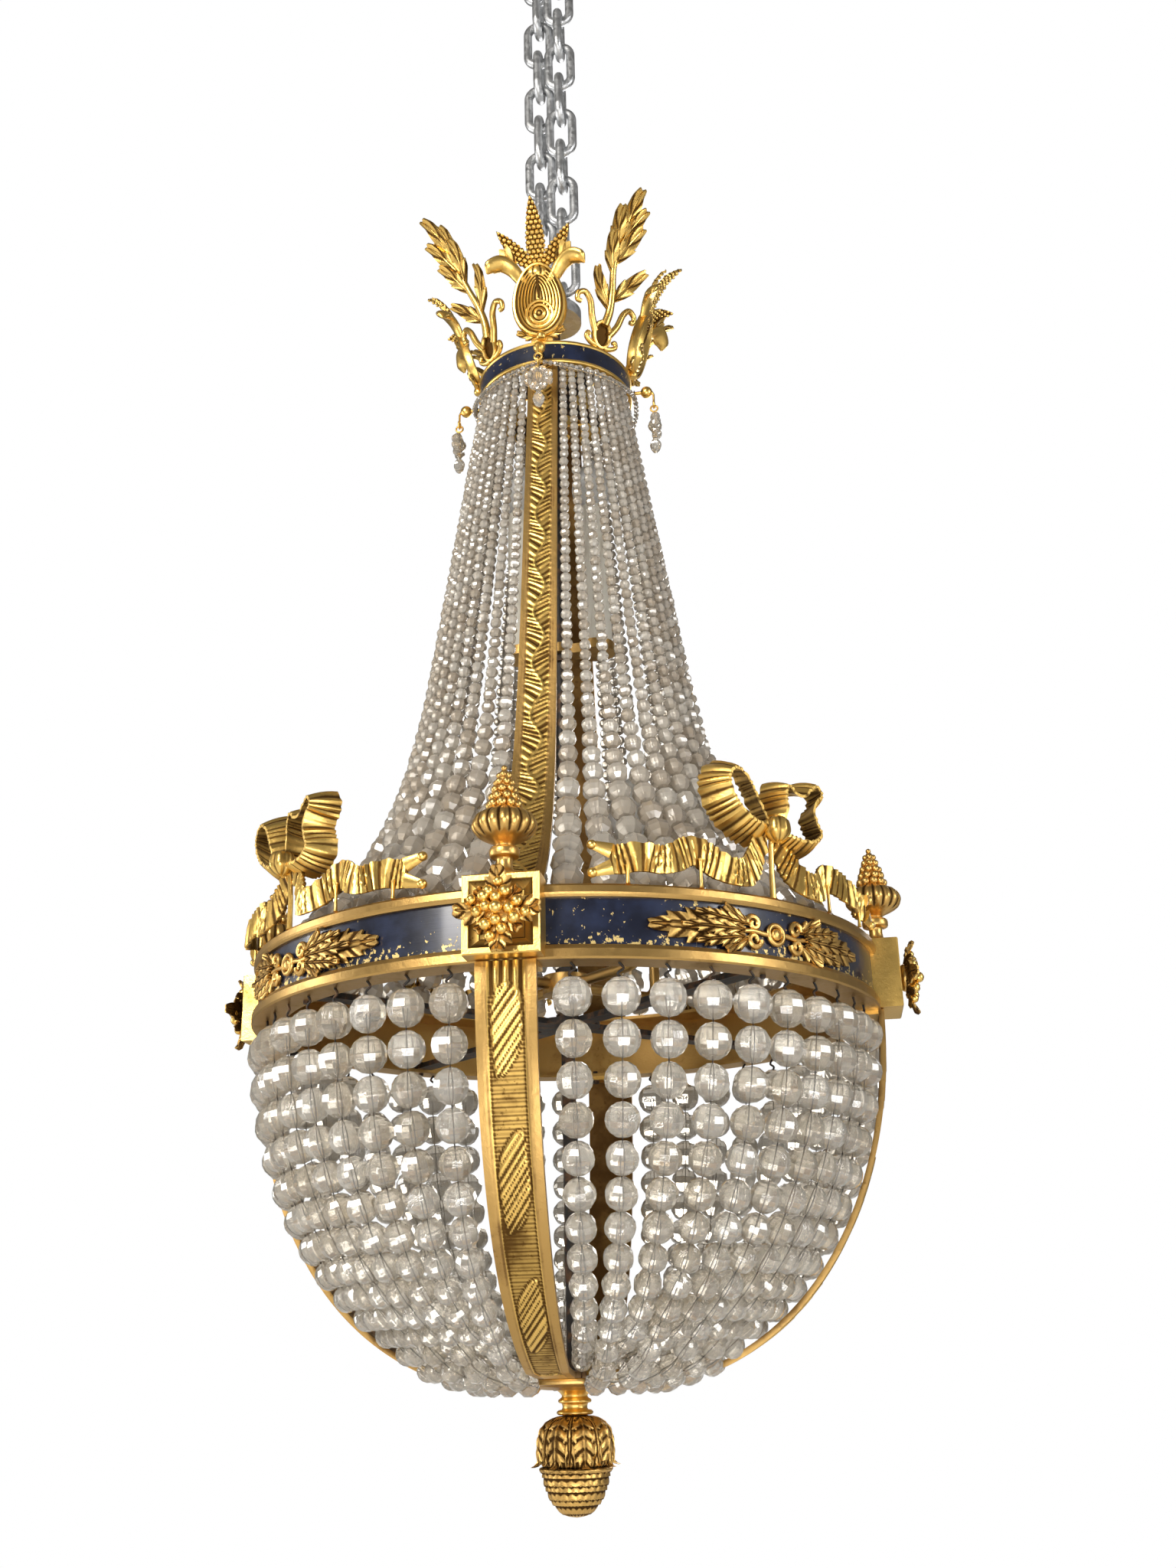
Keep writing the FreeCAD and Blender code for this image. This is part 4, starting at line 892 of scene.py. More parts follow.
def make_tassels():
    x, z = TASSEL_X, TASSEL_Z
    centres = [(x, 0, z), (x, 0, z - 9.5), (x, 0, z - 14.0), (x, 0, z + 8.5)]
    for a in np.radians(45.0 * np.arange(8) + 22.5):
        centres.append((x + 1, 8.9 * math.cos(a), z + 7.5 * math.sin(a)))
    sizes = [12.0, 6.0, 5.0, 5.0] + [8.0] * 8
    axes = np.array([(0, 0, 1.0)] * 4 + [(1.0, 0, 0)] * 8)
    drop = lathe(((0.05, -27), (2.6, -25.5), (4.6, -21), (4.7, -17.5), (3.0, -14.5), (1.2, -12.5),
                  (0.05, -12)), 8, 2).moved(x, 0, z)
    ring = [(x + 3 * math.cos(a), 0, TASSEL_TOP - 3 + 3 * math.sin(a))
            for a in np.linspace(0, 2 * np.pi, 17)]
    wires = (ring, [(x, 0, TASSEL_TOP - 6), (x, 0, z - 12)])
    for name, degrees in (("front", 270), ("right", 0), ("back", 90), ("left", 180)):
        turn = rotation(degrees).T
        node, body = "tassel_" + name, "tassel_body_" + name
        bead_piece("tassel_beads_" + name, node, np.array(centres) @ turn, sizes, axes @ turn,
                   large_crystal, 40 + degrees, body=body)
        make_piece("tassel_drop_" + name, node, drop.turned(degrees), (large_crystal,), 10.0,
                   body)
        wire_piece("tassel_wire_" + name, node, [np.array(wire) @ turn for wire in wires], 0.8, 8,
                   gilt, body)


# Straps and ribs

def relief_bar(stations, thickness, pattern, columns):
    """A flat bar along (r, z, width) stations; the pattern gives its height and recess, painted as
    shade.
    """
    ahead = headings(stations[:, :2])
    length = distances(stations)
    t = np.linspace(-1, 1, columns)
    height, recess = pattern(length[:, None], t[None, :], length[-1])
    loops, dark = [], []
    for i, (r, z, width) in enumerate(stations):
        x, up = -ahead[i, 1], ahead[i, 0]
        front = [(r + x * h, width / 2 * u, z + up * h) for u, h in zip(t, height[i])]
        back = [(r - x * thickness, width / 2 * u, z - up * thickness) for u in (1, -1)]
        loops.append(front + back)
        # Painted shade: the back of the bar is darker
        dark.append(list(recess[i]) + [0.6, 0.6])
    border = [1 if abs((t[j] + t[j + 1]) / 2) > 0.6 else 0 for j in range(columns - 1)]
    return loft(loops, dark, tones=border + [1, 1, 1])


def running_leaf(u, t, length):
    """Fine leaf strokes on both sides of a waved stem, sunk between two plain borders."""
    field = 1 - unit((np.abs(t) - 0.58) / 0.05)
    off = t - 0.3 * np.sin(2 * np.pi * u / 46.0)
    stroke = wave(u / 4.6 + 1.7 * np.abs(off) + 0.6 / np.pi * np.sin(u / 7.3))
    lobe = wave(u / 15.3 + 0.9 * np.abs(off))
    stem = bell(off, 0, 0.08)
    ridge = unit(0.62 * stroke + 0.5 * lobe - 0.05) * (1 - stem) + stem
    lip = bell(np.abs(t), 0.69, 0.03) + 0.7 * bell(np.abs(t), 0.78, 0.025)
    height = field * (-0.9 + 1.25 * ridge) - 0.3 * lip
    # Painted shade in the low ground between the strokes and along the lips
    return height, field * unit(0.85 - 1.1 * ridge) + 0.4 * lip


def make_straps():
    line = [(CONE_TOP_RADIUS, STRAP_TOP, 24.0), (CONE_TOP_RADIUS, CONE_TOP + 2, 24.0)]
    line += [(cone_radius(z), z, strap_width(z)) for z in np.linspace(CONE_TOP - 4, 1.6, 160)]
    bar = relief_bar(spread(line, 1.0), STRAP_THICKNESS, running_leaf, 31)
    bar = bar.mapped(lambda p: np.maximum(p, (-999, -999, 0.05)))
    foot = block((205.5, 219.3), 18.5, (0.05, STRAP_THICKNESS))
    make_piece("straps", "upper_straps", around(joined([bar, foot])), (gilt, satin_gilt), 50)


def twisted_leaf(u, t, length):
    """Flutes that run into twisted bundles of leaf strokes, with matt ground between them."""
    field = 1 - unit((np.abs(t) - 0.56) / 0.05)
    v = t / 0.56
    phase = ((u - 6) / 94.0) % 1.0
    inner = unit(phase / 0.68)
    reach = 0.98 * np.sin(np.pi * inner) ** 0.5
    middle = 0.7 * np.cos(np.pi * inner) * (1 - reach)
    inside = unit((reach - np.abs(v - middle)) / 0.12) * (phase < 0.68)
    turn = 0.16 * u + 2.3 * v + 0.35 * np.sin(u / 11.0 + 1.5 * v)
    leaf = inside * (0.15 + 0.6 * wave(turn) + 0.4 * wave(turn / 3 + 0.2))
    hatch = 0.02 + 0.16 * wave(u / 2.6)
    flutes = wave(v * 1.75)
    top = 1 - unit((u - 9 - 8 * np.abs(v)) / 8)
    ridge = top * flutes + (1 - top) * (leaf + (1 - inside) * hatch)
    lip = bell(np.abs(t), 0.66, 0.03)
    carved = 1 - unit((u - length + 66) / 4)
    height = carved * (field * (-1.4 + 1.9 * ridge) - 0.35 * lip)
    shown = inside + top - inside * top
    # Painted shade in the low parts of the leaves, flutes and lips; the matt ground is darker as its
    # own finish
    dark = 0.45 * (1 - shown) + shown * unit(1.15 - 1.5 * ridge)
    return height, carved * (field * dark + 0.5 * lip)


def make_ribs():
    line = []
    for i in range(60):
        z = BASKET_TOP + 3 - (BASKET_DEPTH - 12) * math.sin(math.pi / 2 * i / 59.0)
        r = basket_radius(z)
        outer = off_basket(r, z, RIB_STANDOFF * min(1.0, (r - 50) / 50.0))
        if outer[1] > PLATE_TOP + 3.5:
            line.append((*outer, rib_width(z)))
    line += [(r, PLATE_TOP, rib_width(PLATE_TOP)) for r in (PLATE_RADIUS + 12, 26)]
    bar = relief_bar(spread(line, 1.0), RIB_THICKNESS, twisted_leaf, 33)
    lowest, highest = (-999, -999, PLATE_TOP + 0.05), (231.2, 999, -RING_HEIGHT)
    bar = bar.mapped(lambda p: np.clip(p, lowest, highest))
    tab = block((208.5, 228.0), 18.8, (-RING_HEIGHT - 3, -RING_HEIGHT - 0.05))
    make_piece("ribs", "lower_ribs", around(joined([bar, tab])), (gilt, satin_gilt), 50)


# Blocks, rosettes and finials

def make_blocks():
    # The last number of each ring is painted shade on the steps of the sunk panel
    rings = ((0, 222.5, 0.3), (0, 244.2, 0), (0.8, BLOCK_FACE, 0), (4.0, BLOCK_FACE, 0),
             (4.6, 244.2, 0.6), (9.6, 240.4, 0.0), (10.0, 239.8, 0.8), (10.6, 239.6, 0.15))
    face = framed(rings, BLOCK_WIDTH / 2, 25.0).moved(0, 0, ROSETTE_Z)
    make_piece("blocks", "corner_blocks", around(face), sharp=25)


def make_rosettes():
    parts = [lathe(((0.05, 0), (7, 0.4), (10, 3), (8, 7), (0.05, 8)), 24, 4).turned(90, "Y")
             .moved(BLOCK_FACE, 0, ROSETTE_Z)]
    berries, sizes = [], []
    for i in range(4):
        a = 90.0 * i
        tip = acanthus(22, 9.5, 3, 1.8, 42, 0.3, 1.3, 0.34).moved(1.5, 0, 5.0).turned(a, "X")
        parts.append(tip.moved(BLOCK_FACE + 4, 0, ROSETTE_Z))
        small = acanthus(13, 5.5, 2, 1.5, 50, 0.3, 1.0, 0.3).moved(1.0, 0, 6.0).turned(a + 45, "X")
        parts.append(small.moved(BLOCK_FACE + 3.5, 0, ROSETTE_Z))
        for side, reach, size in ((-26, 12.5, 7.2), (24, 11.5, 7.8), (2, 17.0, 6.4), (-6, 7.0, 7.4)):
            b = math.radians(a + side + 7 * i)
            berries.append((BLOCK_FACE + 11.6 - 0.16 * reach, reach * math.sin(b),
                            ROSETTE_Z + reach * math.cos(b)))
            sizes.append(size)
    berries.append((BLOCK_FACE + 13.6, 0, ROSETTE_Z))
    sizes.append(8.0)
    make_piece("rosettes", "block_rosettes", around(joined(parts)), (aged_gilt,), 45)
    berries_on_blocks("rosette_berries", "block_rosettes", berries, sizes, gilt, (0.3, 0.2, 1.0),
                      12, 9, 60)


def make_finials():
    def swell(turn, z, r):
        gadroon = unit((z - 25) / 4) * unit((46 - z) / 5)
        round_top = np.abs(np.sin(turn * 8))
        # Painted shade between the gadroons
        return gadroon * (round_top - 0.7) * 2.0, gadroon * (1 - round_top) ** 2 * 1.2
    profile = ((11.5, 0), (11.3, 2), (6.5, 4.4), (5.0, 8), (5.3, 12.6), (8.8, 13.6), (9.6, 16.5),
               (8.8, 19.3), (5.6, 20.6), (8, 23), (15, 26.5), (19.2, 31), (19.9, 35), (17.2, 40.5),
               (9.4, 45), (8.0, 47.4), (6.3, 50), (4.8, 60), (2.4, 70), (0.05, 71))
    body = lathe(profile, 64, 5, swell).moved(FINIAL_AXIS, 0, FINIAL_FOOT)
    make_piece("finials", "block_finials", around(body), (aged_gilt,), 60)
    berries, sizes = [], []
    rows = 6
    for row in range(rows):
        share = row / (rows - 1)
        radius = 8.4 * (1 - share) ** 0.7 + 0.2
        size = 6.4 - 2.4 * share
        count = max(1, int(2 * math.pi * radius / (size * 0.92)))
        for k in range(count):
            berry = on_circle(radius, 2 * math.pi * (k + 0.5 * (row % 2)) / count,
                              FINIAL_FOOT + 47.5 + 25.0 * share)
            berries.append(berry + (FINIAL_AXIS, 0, 0))
            sizes.append(size)
    berries_on_blocks("finial_berries", "block_finials", berries, sizes, aged_gilt, (0, 0.1, 1.0),
                      10, 7, 61)


# Bows and leaf mounts; the lines are (along the ring, up) from the middle of a bow

LEFT_LOOP = ((1, 43), (12, 40), (24, 43), (36, 51), (44, 63), (45, 75), (38, 84.5), (28, 85),
             (19, 78), (13, 68), (7, 57), (1, 48))
RIGHT_LOOP = ((1, 42), (13, 37), (27, 36), (38, 40), (43, 48), (39, 57), (38, 65), (45, 72), (45, 80),
              (37, 85), (29, 80), (22, 75), (15, 80), (8, 79), (5, 69), (5, 58), (1, 48))
TAIL_LINE = ((4, 40), (9, 34), (16, 21.5), (25, 12.8), (35, 11.4), (44, 15), (51, 20.5), (58, 24),
             (66, 22.5), (75, 17), (84, 14.6), (92, 16.6), (100, 17.6), (108, 16), (116, 15))


def pleats(length, pitch, drift):
    """Folds of uneven width along a ribbon: 1 on the ridges, -1 in the valleys."""
    phase = length / pitch + 0.32 * np.sin(2 * np.pi * length / 21.0 + drift)
    return 4 * np.abs(phase % 1.0 - 0.5) - 1


def ribbon_loop(side, line, flare, drift):
    """A pleated ribbon on edge from the knot and back to it."""
    step = 0.8
    line = spread(line_through(line, 10), step)
    fold = pleats(np.arange(len(line)) * step, 5.6, drift)
    loops, recess = [], []
    for i, ((y, z), (along, up)) in enumerate(zip(line, headings(line))):
        broad = 0.5 + 0.5 * min(1.0, min(i, len(line) - 1 - i) / 16.0)
        outer, inner, dark = [], [], []
        for v in np.linspace(-1, 1, 6):
            x = LOOP_AXIS + 10.3 * v * broad + (1 - broad) * 6
            lift = 0.85 * fold[i] * (1 - 0.25 * v) - flare * v * broad - 1.2 * v * v
            outer.append((x, side * (y + up * (lift + 1)), z - along * (lift + 1)))
            inner.append((x, side * (y + up * (lift - 1)), z - along * (lift - 1)))
            # Painted shade: the pleat valleys are darker, and the inner face more so
            dark.append(max(0.0, -fold[i]) * 0.85)
        loops.append(outer + inner[::-1])
        recess.append(dark + [0.35 + 0.5 * d for d in dark])
    return loft(loops, recess)


def ribbon_tail(side):
    """A pleated tail that falls from the knot, waves along the ring and ends in two points."""
    line = spread(line_through(TAIL_LINE, 12), 1.0)
    loops, recess = [], []
    for i, ((u, z), (along, up)) in enumerate(zip(line, headings(line))):
        sway = math.sin((u - TAIL_FIRST) / TAIL_WAVE)
        r = TAIL_AXIS + 4.0 * sway
        half = 9.3 - 1.6 * math.exp(-((u - 4) / 6.0) ** 2)
        front, back, dark = [], [], []
        for v in np.linspace(-1, 1, 11):
            pleat = pleats(i + 1.6 * v * sway, 5.2, 0.6)
            out = 0.8 + 0.95 * pleat - 0.4 * v * v - 0.9 * v * sway
            b = side * (u - 0.55 * up * half * v) / RING_RADIUS
            h = max(z + half * v * (1 + 0.03 * pleat), 0.9)
            front.append(on_circle(r + out, b, h))
            back.append(on_circle(r + out - 2.0, b, h))
            # Painted shade: the pleat valleys, the parts of the wave that swing in towards the ring,
            # and the back are darker
            dark.append(min(1.0, max(0.0, -0.9 * pleat) + 0.25 * max(0.0, -sway)))
        loops.append(front + back[::-1])
        recess.append(dark + [0.6] * 11)
    parts = [loft(loops, recess)]
    knob = lathe(((0.05, -3.3), (2.4, -2.2), (3.3, 0), (2.4, 2.2), (0.05, 3.3)), 16, 3)
    for sign in (-1, 1):
        path = [on_circle(r, side * (TAIL_END + 12.0 * share) / RING_RADIUS,
                          z + sign * (5.2 + 3.8 * share)) for share in np.linspace(0, 1, 9)]
        parts += [tube(path, np.linspace(2.4, 1.3, 9), 10, 2.1), knob.moved(*path[-1])]
    for turns, height in ((0.75, 19.0), (1.75, 12.0)):
        a = side * (TAIL_FIRST + 2 * math.pi * TAIL_WAVE * turns) / RING_RADIUS
        post = lathe(((1.5, 0), (1.1, 3), (1.1, height - 3), (1.5, height)), 12, 3)
        parts.append(post.moved(*on_circle(229.5, a, 0)))
    return joined(parts)


def fluted(count, rise, dark):
    """Flutes around a turned form, with painted shade in their valleys."""
    return lambda turn, z, r: (rise * np.cos(turn * count), unit(-np.cos(turn * count)) * dark)


def make_bows():
    knot = lathe(((0.05, -9), (4.5, -7.6), (8.3, -3.2), (8.6, 1.5), (7.4, 5.6), (4.0, 8),
                  (0.05, 8.6)), 40, 5, fluted(7, 0.5, 0.6))
    stay = tube(((228, 0, 0), (228, 0, 20), (229, 0, 36), (232, 0, 44)), (1.9, 1.7, 1.8, 2.2))
    bow = joined([ribbon_loop(-1, LEFT_LOOP, 4.5, 0.0), ribbon_loop(1, RIGHT_LOOP, 3.0, 2.0),
                  knot.moved(235.5, 0, 45), stay])
    make_piece("ribbon_bows", "bows", around(bow, 45), sharp=30)
    tails = joined([ribbon_tail(-1), ribbon_tail(1)])
    make_piece("ribbon_tails", "bow_tails", around(tails, 45), sharp=30)


def volute(turns, start, finish, thick, sides=8):
    """A flat spiral in the plane x = 0 that winds in to its eye."""
    a = np.linspace(0, turns * 2 * np.pi, int(26 * turns) + 1)
    r = np.linspace(start, finish, len(a))
    path = np.stack([np.zeros_like(a), r * np.cos(a), r * np.sin(a)], 1)
    return tube(path, np.linspace(thick, thick * 0.75, len(a)), sides)


def make_leaf_mounts():
    ring = [(1.6, 6.2 * math.cos(a), 6.2 * math.sin(a)) for a in circle(40)]
    boss = lathe(((0.05, -2), (3.6, -1.5), (4.1, 1), (3.2, 3.3), (0.05, 4.4)), 24, 4)
    stalk = [(0.8, y, 0.6 * math.sin(y / 4)) for y in np.linspace(-26, 26, 30)]
    parts = [tube(ring, 1.7, closed=True), boss.turned(90, "Y"), tube(stalk, 2.2, 10, 0.8)]
    for side in (-1, 1):
        spray = acanthus(62, 12.5, 5, 1.6, 0, 0.08, 1.5, 0.34, 0.45, 17, 10)
        parts.append(spray.turned(-side * 90, "X").moved(0.4, side * 27, 0))
        for rise in (-1, 0, 1):
            over = acanthus(44 - 9 * abs(rise), 5.6, 4, 1.6, 6, 0.08, 1.4, 0.36, 0.4, 13, 9)
            over = over.turned(-side * (90 - 9 * rise), "X")
            parts.append(over.moved(2.4 - 0.7 * abs(rise), side * 25, rise * 4.0))
        for up in (-1, 1):
            curl = volute(1.15, 5.4, 1.4, 2.0).stretched(y=side * up, z=up)
            parts.append(curl.moved(1.6, side * 18, up * 5.2))
            wing = acanthus(22, 5, 2, 1.5, 20, 0.1, 1.0).turned(-side * (90 - 28 * up), "X")
            parts.append(wing.moved(0.6, side * 20, up * 3.4))
    mount = wrapped(joined(parts), ENAMEL_RADIUS + 0.4).moved(z=MOUNT_Z)
    make_piece("leaf_mount_reliefs", "leaf_mounts", around(mount, 45), (aged_gilt,), 45)


# Crown ornaments, each with x outwards from its back and z up from the crown's top edge

def stood(parts, x):
    """Puts an ornament on the crown band and leans it outwards."""
    form = joined(parts).moved(x, 0, CROWN_TOP).turned(CROWN_LEAN, "Y", (CROWN_RADIUS, 0, CROWN_TOP))
    return form.mapped(lambda p: np.maximum(p, (-999, -999, CROWN_TOP)))


PETAL_LINE = ((3, 9, 47), (3.8, 15, 55), (5, 21, 63), (8, 29, 67.5), (11, 37, 65), (12, 41, 59))


def make_cartouches():
    # The last number of each ring is painted shade in its grooves
    rings = [(0.8, 0, 0.4), (0, 0.8, 0.2), (0, 5.6, 0), (1.0, 7.2, 0), (2.4, 7.4, 0), (3.2, 6.0, 0.9)]
    for inset in 4.0 + 2.6 * np.arange(6):
        rings += [(inset, 6.0, 0.4), (inset + 0.8, 7.1, 0), (inset + 1.6, 6.9, 0.1),
                  (inset + 2.2, 5.7, 1.0)]
    plate = dish(rings + [(22.4, 6.0, 0)], 22.5, 31.5, 64)
    egg = np.stack([np.ones(len(plate.points)), 1 - plate.points[:, 2] / 210.0,
                    np.ones(len(plate.points))], 1)
    target = dish(((0, 4, 0.5), (0, 6.6, 0), (1.2, 7.8, 0), (2.4, 7.6, 0.1), (3.1, 6.4, 1.0),
                   (3.9, 7.4, 0.1), (4.8, 8.4, 0), (5.9, 8.2, 0.1), (6.7, 7.0, 1.0),
                   (7.6, 8.2, 0.2), (9.2, 9.6, 0), (10.4, 8.6, 0.9), (12.4, 9.4, 0.3)),
                  12.5, 12.5, 40)
    groove = tube([(6.4, 0, h) for h in (36, 44, 52, 61)], (0.9, 1.4, 1.4, 0.9), 8)
    # Painted shade: the groove is dark all over
    groove.recess[:] = 1
    ball = lathe(((0.05, -4.2), (3.2, -3), (4.2, 0), (3.2, 3), (0.05, 4.2)), 20, 4)
    neck = lathe(((8, 0), (10.5, 3), (8.6, 7), (5.4, 10)), 36, 4, fluted(9, 0.6, 0.9))
    parts = [plate.mapped(lambda p: p * egg).moved(z=35), target.moved(z=22.5), groove,
             framed(((0, 0, 0.3), (0, 4.4, 0)), 9, 6.5).moved(z=3), ball.moved(5.5, 0, 3.8),
             neck.stretched(x=0.45).moved(3.4, 0, 55)]
    for side in (-1, 1):
        foot = acanthus(17, 4.6, 2, 1.5, 30, 0.2, 1.0).turned(-side * 74, "X")
        parts.append(foot.moved(3.6, side * 3, 3.4))
        petal = line_through(np.array(PETAL_LINE) * (1, side, 1))
        share = np.linspace(0, 1, len(petal))
        radii = np.interp(share, (0, 0.3, 0.65, 0.85, 1), (2.2, 3.0, 3.8, 3.4, 0.5))
        parts.append(tube(petal, radii, 16, 1.9))
        lobe = acanthus(22, 6.0, 1, 1.8, 34, -0.3, 0.6, 0.05).turned(-side * 20, "X")
        parts.append(lobe.moved(4, side * 18, 57))
    for length, width, angle in ((60, 8.4, 0), (44, 6.6, -42), (44, 6.6, 42)):
        leaf = berry_leaf(length, width, 52).turned(angle, "X")
        parts.append(leaf.moved(2.4, -angle / 14.0, 62))
    make_piece("crown_cartouches", "cartouches", around(stood(parts, CARTOUCHE_X)), sharp=40)


def make_leaf_sprays():
    # Painted shade: a closed dish whose dark middle stands for the shaded opening of the loop
    parts = [dish(((0.5, 0, 0.4), (0, 0.6, 0.2), (0, 3.4, 0), (0.6, 4.4, 0), (2.2, 4.6, 0),
                   (3.2, 3.6, 0.3), (3.4, 1.4, 0.9), (6, 1.2, 1.0), (9.4, 1.2, 1.0)),
                  9.5, 12.8, 40).moved(z=12.8)]
    stem = ((2.6, 1, 21), (3.2, 3.4, 34), (4.6, 2.2, 50), (7, -1.6, 68), (10, -2.4, 84), (14, 0.5, 99))
    parts.append(tapered(stem, 3.9, 1.8, steps=8))
    stem = line_through(stem, 8)
    leaves = ((0.94, 3, 42, 8.0), (0.86, -17, 36, 7.4), (0.78, 19, 38, 7.6), (0.66, -20, 38, 7.8),
              (0.56, 23, 36, 7.2), (0.32, -34, 40, 7.0), (0.2, 40, 38, 6.6))
    for share, angle, length, half in leaves:
        leaf = acanthus(length, half, 2, 2.0, 34, -0.2, 1.3, 0.16, 0.22, 15, 12).turned(angle, "X")
        root = stem[int(share * (len(stem) - 1))]
        parts.append(leaf.turned(22 * share, "Y").moved(*root).moved(-1.2))
    for side in (-1, 1):
        arm = ((2.3, 7, 14), (3.4, 13, 24), (3.6, 17, 36), (2.8, 23, 42), (2.2, 29, 39),
               (2.4, 29, 33.6), (2.6, 25.5, 33))
        low = ((2.0, 4, 2.4), (2.4, 10, 3.2), (2.6, 15, 6.5), (2.4, 14, 10.5), (2.2, 11.4, 9))
        parts.append(tapered(np.array(arm) * (1, side, 1), 3.0, 2.0))
        parts.append(tapered(np.array(low) * (1, side, 1), 2.4, 1.6))
    make_piece("crown_leaf_sprays", "leaf_sprays", around(stood(parts, SPRAY_X), 45), sharp=40)


# Bottom plate, neck, cup and pine cone

CUP_RADII = (9.0, 14.0, 19.0, 22.6, 24.6, 25.2, 24.8, 26.6, 29.4)
CUP_HEIGHTS = (-310.9, -312.4, -315.0, -319.0, -325.0, -333.0, -339.6, -341.6, -342.6)


def dark_line(turn, z, r):
    """No relief, only a darker line round the underside of the plate."""
    return 0 * r, 0.5 * unit(1 - np.abs(z + 291.2) / 0.5)


def on_cup(p):
    """Lays a leaf with its length along Z on the outside of the cup."""
    shares = (0, 0.07, 0.18, 0.32, 0.5, 0.72, 0.9, 0.97, 1.05)
    share = np.clip(p[:, 2] / 40.0, 0, shares[-1])
    r = np.interp(share, shares, CUP_RADII)
    angle = p[:, 1] / np.maximum(r, 14)
    return on_circle(r + p[:, 0], angle, np.interp(share, shares, CUP_HEIGHTS))


def veins(turn, z, r):
    # Painted shade between the veins
    vein = np.cos(turn * 48)
    return 0.3 * vein, unit(0.3 - 0.7 * vein)


def scales(turn, z, r):
    """Rounded scales in rows that lie over one another."""
    rows = 7.5 * ((CONE_EDGE - z) / 31.6) ** 0.92
    row = rows + 0.34 * np.abs(np.sin(turn * 11.0))
    odd = rows + 0.34 * np.abs(np.cos(turn * 11.0))
    part = np.where(np.floor(row) % 2 == 0, row, odd) % 1.0
    fade = unit(r / 8.0)
    # Painted shade in the low part of each row, under the scale above
    return fade * (1.5 * part ** 0.8 - 0.7), unit(1.0 - 2.6 * part) * fade


def make_bottom():
    plate = lathe(((0.05, -286), (56, -286), (59.4, -286.2), (60, -287), (60, -289), (59.2, -290),
                   (54, -290.4), (50, -291.6), (42, -291.4), (38, -290.9), (30, -292.6),
                   (22, -294.2), (12, -294.7), (5, -294.7)), 96, 4, dark_line)
    make_piece("plate", "bottom_plate", plate, (satin_gilt,), 40)
    balls = [polar(50, 22.5 + 45 * i, -292.6) for i in range(8)]
    bead_piece("plate_balls", "bottom_plate", balls, [6.8] * 8, [(0, 0, 1.0)] * 8, gilt, 70,
               16, 10, True)
    rings = lathe(((9, 0), (11.5, 0.3), (12.6, 1.6), (11.5, 3), (9, 3.7), (8.5, 5.6), (9.2, 7.4),
                   (11, 8), (11.3, 9.6), (9.5, 11), (8.8, 12.2), (10, 14), (12.4, 16)), 48, 4)
    make_piece("neck_rings", "neck", rings.moved(z=NECK_BOTTOM), sharp=50)

    core = [(max(r - 1.0, 6), z) for r, z in zip(CUP_RADII[:7], CUP_HEIGHTS)]
    parts = [lathe(core + [(20, -343.5), (8, -343.8)], 144, 4, veins)]
    tall = acanthus(42, 9.6, 5, 1.2, 0, 0.2, 1.5, 0.26, 0.5, 15, 9).mapped(on_cup)
    low = acanthus(37, 6.0, 4, 0.6, 0, 0.2, 1.3, 0.26, 0.5, 11, 9).mapped(on_cup)
    for i in range(8):
        parts += [tall.turned(22.5 + 45 * i), low.turned(45 * i)]
    make_piece("leaf_cup", "finial_cup", joined(parts), (aged_gilt,), 50)

    cone = lathe(((6, -342.8), (23.4, CONE_EDGE), (23.0, -347), (21.8, -352), (19.9, -358),
                  (17.0, -364), (13.0, -369), (7.6, -372.8), (0.05, -374.4)), 132, 16, scales)
    make_piece("pine_cone_scales", "pine_cone", cone, (aged_gilt,), 50)


# Camera, light and stage

def make_camera():
    """The photograph's camera: from below the ring, nose up by 20 degrees."""
    pitch, roll, yaw = 0.3497, 0.0251, -0.0142
    beside_axis = math.radians(9.0)
    turn = Matrix.Rotation(beside_axis + yaw, 4, "Z") @ Matrix.Rotation(math.pi / 2 + pitch, 4, "X")
    place = Matrix.Rotation(beside_axis, 4, "Z") @ Vector((0.0036, -1.1311, -0.2645))
    place.z += RING_TOP * 0.001
    data = bpy.data.cameras.new("camera")
    data.sensor_width = 36.0
    data.lens = 35.156
    data.clip_start = 0.02
    camera = bpy.data.objects.new("camera", data)
    camera.matrix_world = Matrix.Translation(place) @ turn @ Matrix.Rotation(-roll, 4, "Z")
    bpy.context.scene.collection.objects.link(camera)
    bpy.context.scene.camera = camera


# Name, place, width and height, power and colour
LIGHTS = (
    ("key_light", (-0.9, -2.1, -0.1), (0.8, 0.8), 44, (1.0, 0.96, 0.9)),
    ("right_light", (2.1, -0.9, -0.7), (0.5, 1.3), 22, (1, 1, 1)),
    ("left_light", (-2.2, -0.1, -0.9), (0.4, 1.3), 18, (1, 1, 1)),
    ("low_light", (0.3, -1.6, -1.7), (1.0, 0.4), 14, (1, 1, 1)),
    ("back_light", (0.4, 2.2, -0.3), (1.4, 0.9), 24, (1, 1, 1)),
)


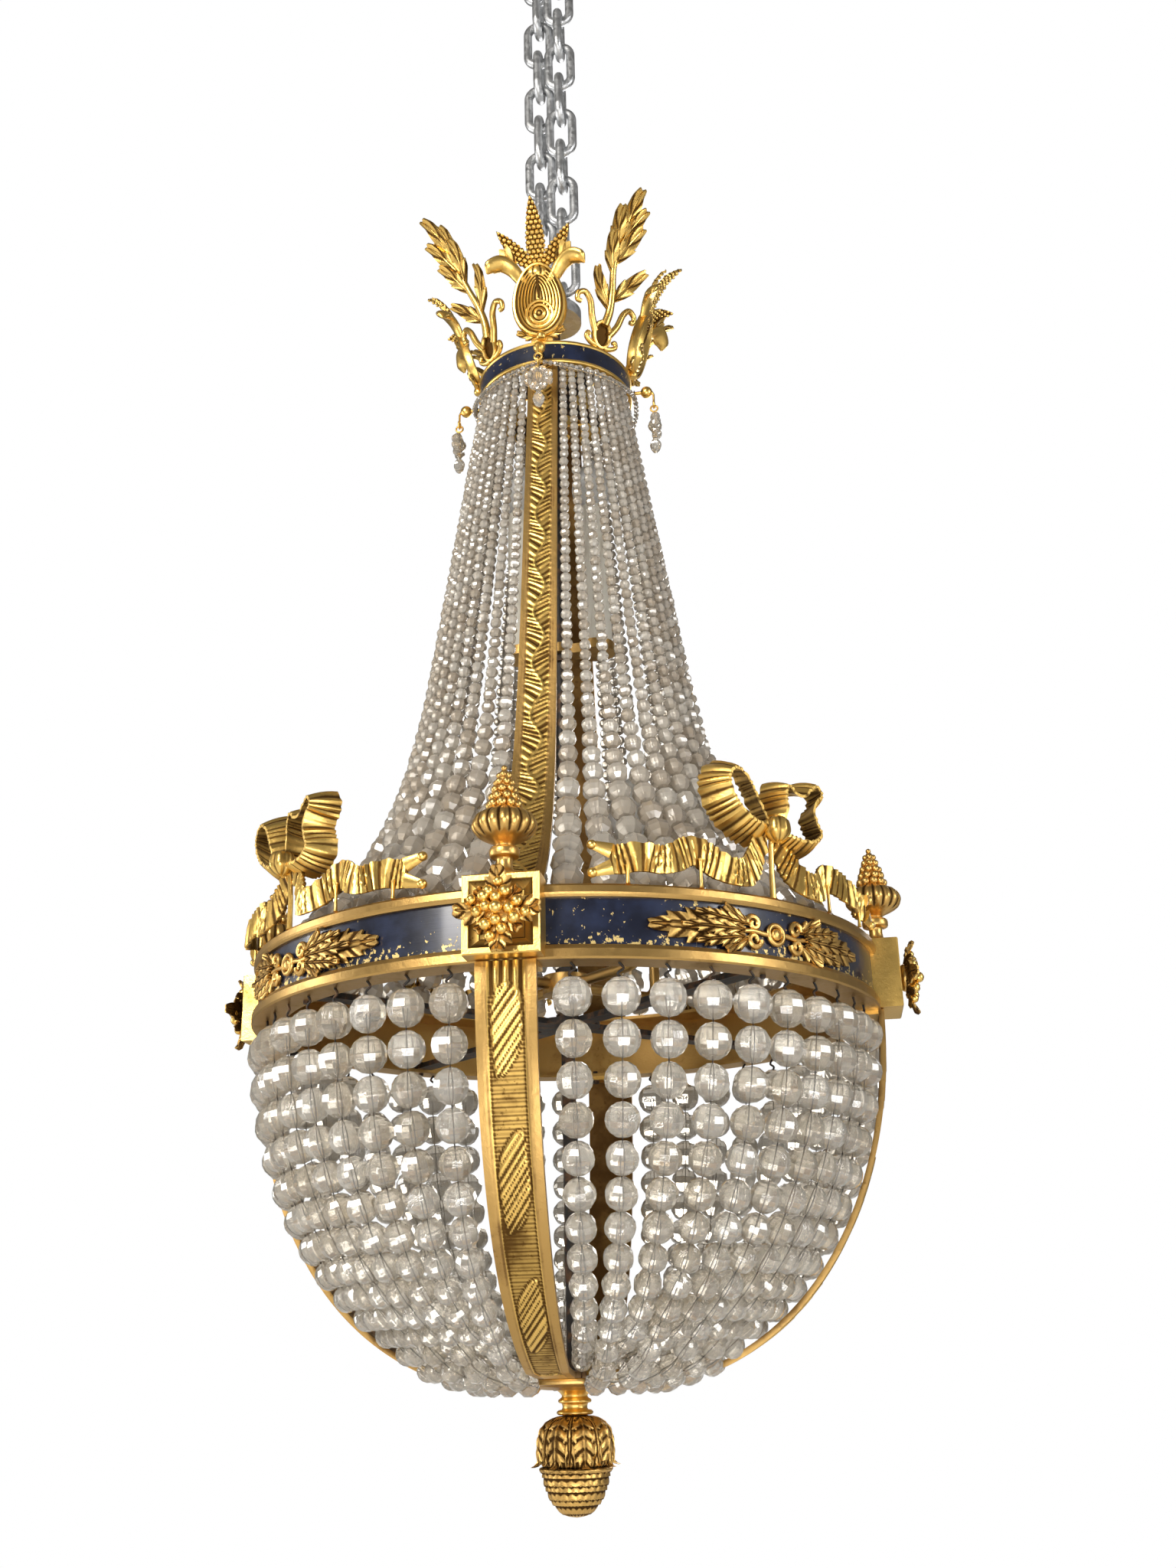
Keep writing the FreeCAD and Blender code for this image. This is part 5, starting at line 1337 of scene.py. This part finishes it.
def make_lights():
    for name, place, size, power, colour in LIGHTS:
        data = bpy.data.lights.new(name, "AREA")
        data.shape = "RECTANGLE"
        data.size, data.size_y = size
        data.energy = power
        data.color = colour
        lamp = bpy.data.objects.new(name, data)
        lamp.location = place
        way = Vector((0, 0, -0.95)) - Vector(place)
        lamp.rotation_euler = way.to_track_quat("-Z", "Y").to_euler()
        bpy.context.scene.collection.objects.link(lamp)


def make_stage():
    floor = block((-FLOOR_HALF, FLOOR_HALF), FLOOR_HALF, (FLOOR_Z, FLOOR_Z + 20))
    mesh = bpy.data.meshes.new("floor")
    mesh.from_pydata(to_metres(floor.points).tolist(), [], floor.faces)
    mesh.materials.append(material("pale_floor", pale_floor))
    thing = bpy.data.objects.new("floor", mesh)
    bpy.context.scene.collection.objects.link(thing)

    world = bpy.data.worlds.new("studio")
    bpy.context.scene.world = world
    world.use_nodes = True
    world.node_tree.nodes.clear()
    graph = Graph(world.node_tree)
    seen = graph.node("ShaderNodeLightPath", output="Is Camera Ray")
    room = graph.node("ShaderNodeBackground", None, ((0.54, 0.52, 0.49, 1), 0.3))
    white = graph.node("ShaderNodeBackground", None, ((1, 1, 1, 1), 1.0))
    mixed = graph.node("ShaderNodeMixShader", None, (seen, room, white))
    graph.node("ShaderNodeOutputWorld", None, (mixed,))
    bpy.context.scene.view_settings.view_transform = "Standard"


COATS = {
    steel_zinc: ["chain_links_%02d" % n for n in range(1, 11)] + ["hanging_eye"],
    iron: ["stem", "stem_nuts", "crown_spider", "ring_spider", "screws", "strand_hooks"],
    gilt: ["crown_band", "tassel_hooks", "crown_mouldings"],
    satin_gilt: ["main_hoop", "upper_moulding", "lower_moulding", "lamp_arms", "drip_pans",
                 "upper_lamp_bar"],
    blue_enamel: ["crown_enamel", "enamel_band"],
    cream_card: ["candle_sleeves", "upper_sleeves"],
    holder_plastic: ["lampholders"],
    bulb_glass: ["bulbs"],
}


def dress_nodes():
    for coat, names in COATS.items():
        for name in names:
            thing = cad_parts[name]
            if not thing.material_slots:
                thing.data.materials.append(coat)
            for place in thing.material_slots:
                place.material = coat


for make in (make_camera, make_stage, make_lights, dress_nodes, make_cone_strands,
             make_basket_strands, make_swags, make_tassels, make_straps, make_ribs, make_blocks,
             make_rosettes, make_finials, make_bows, make_leaf_mounts, make_cartouches,
             make_leaf_sprays, make_bottom):
    make()
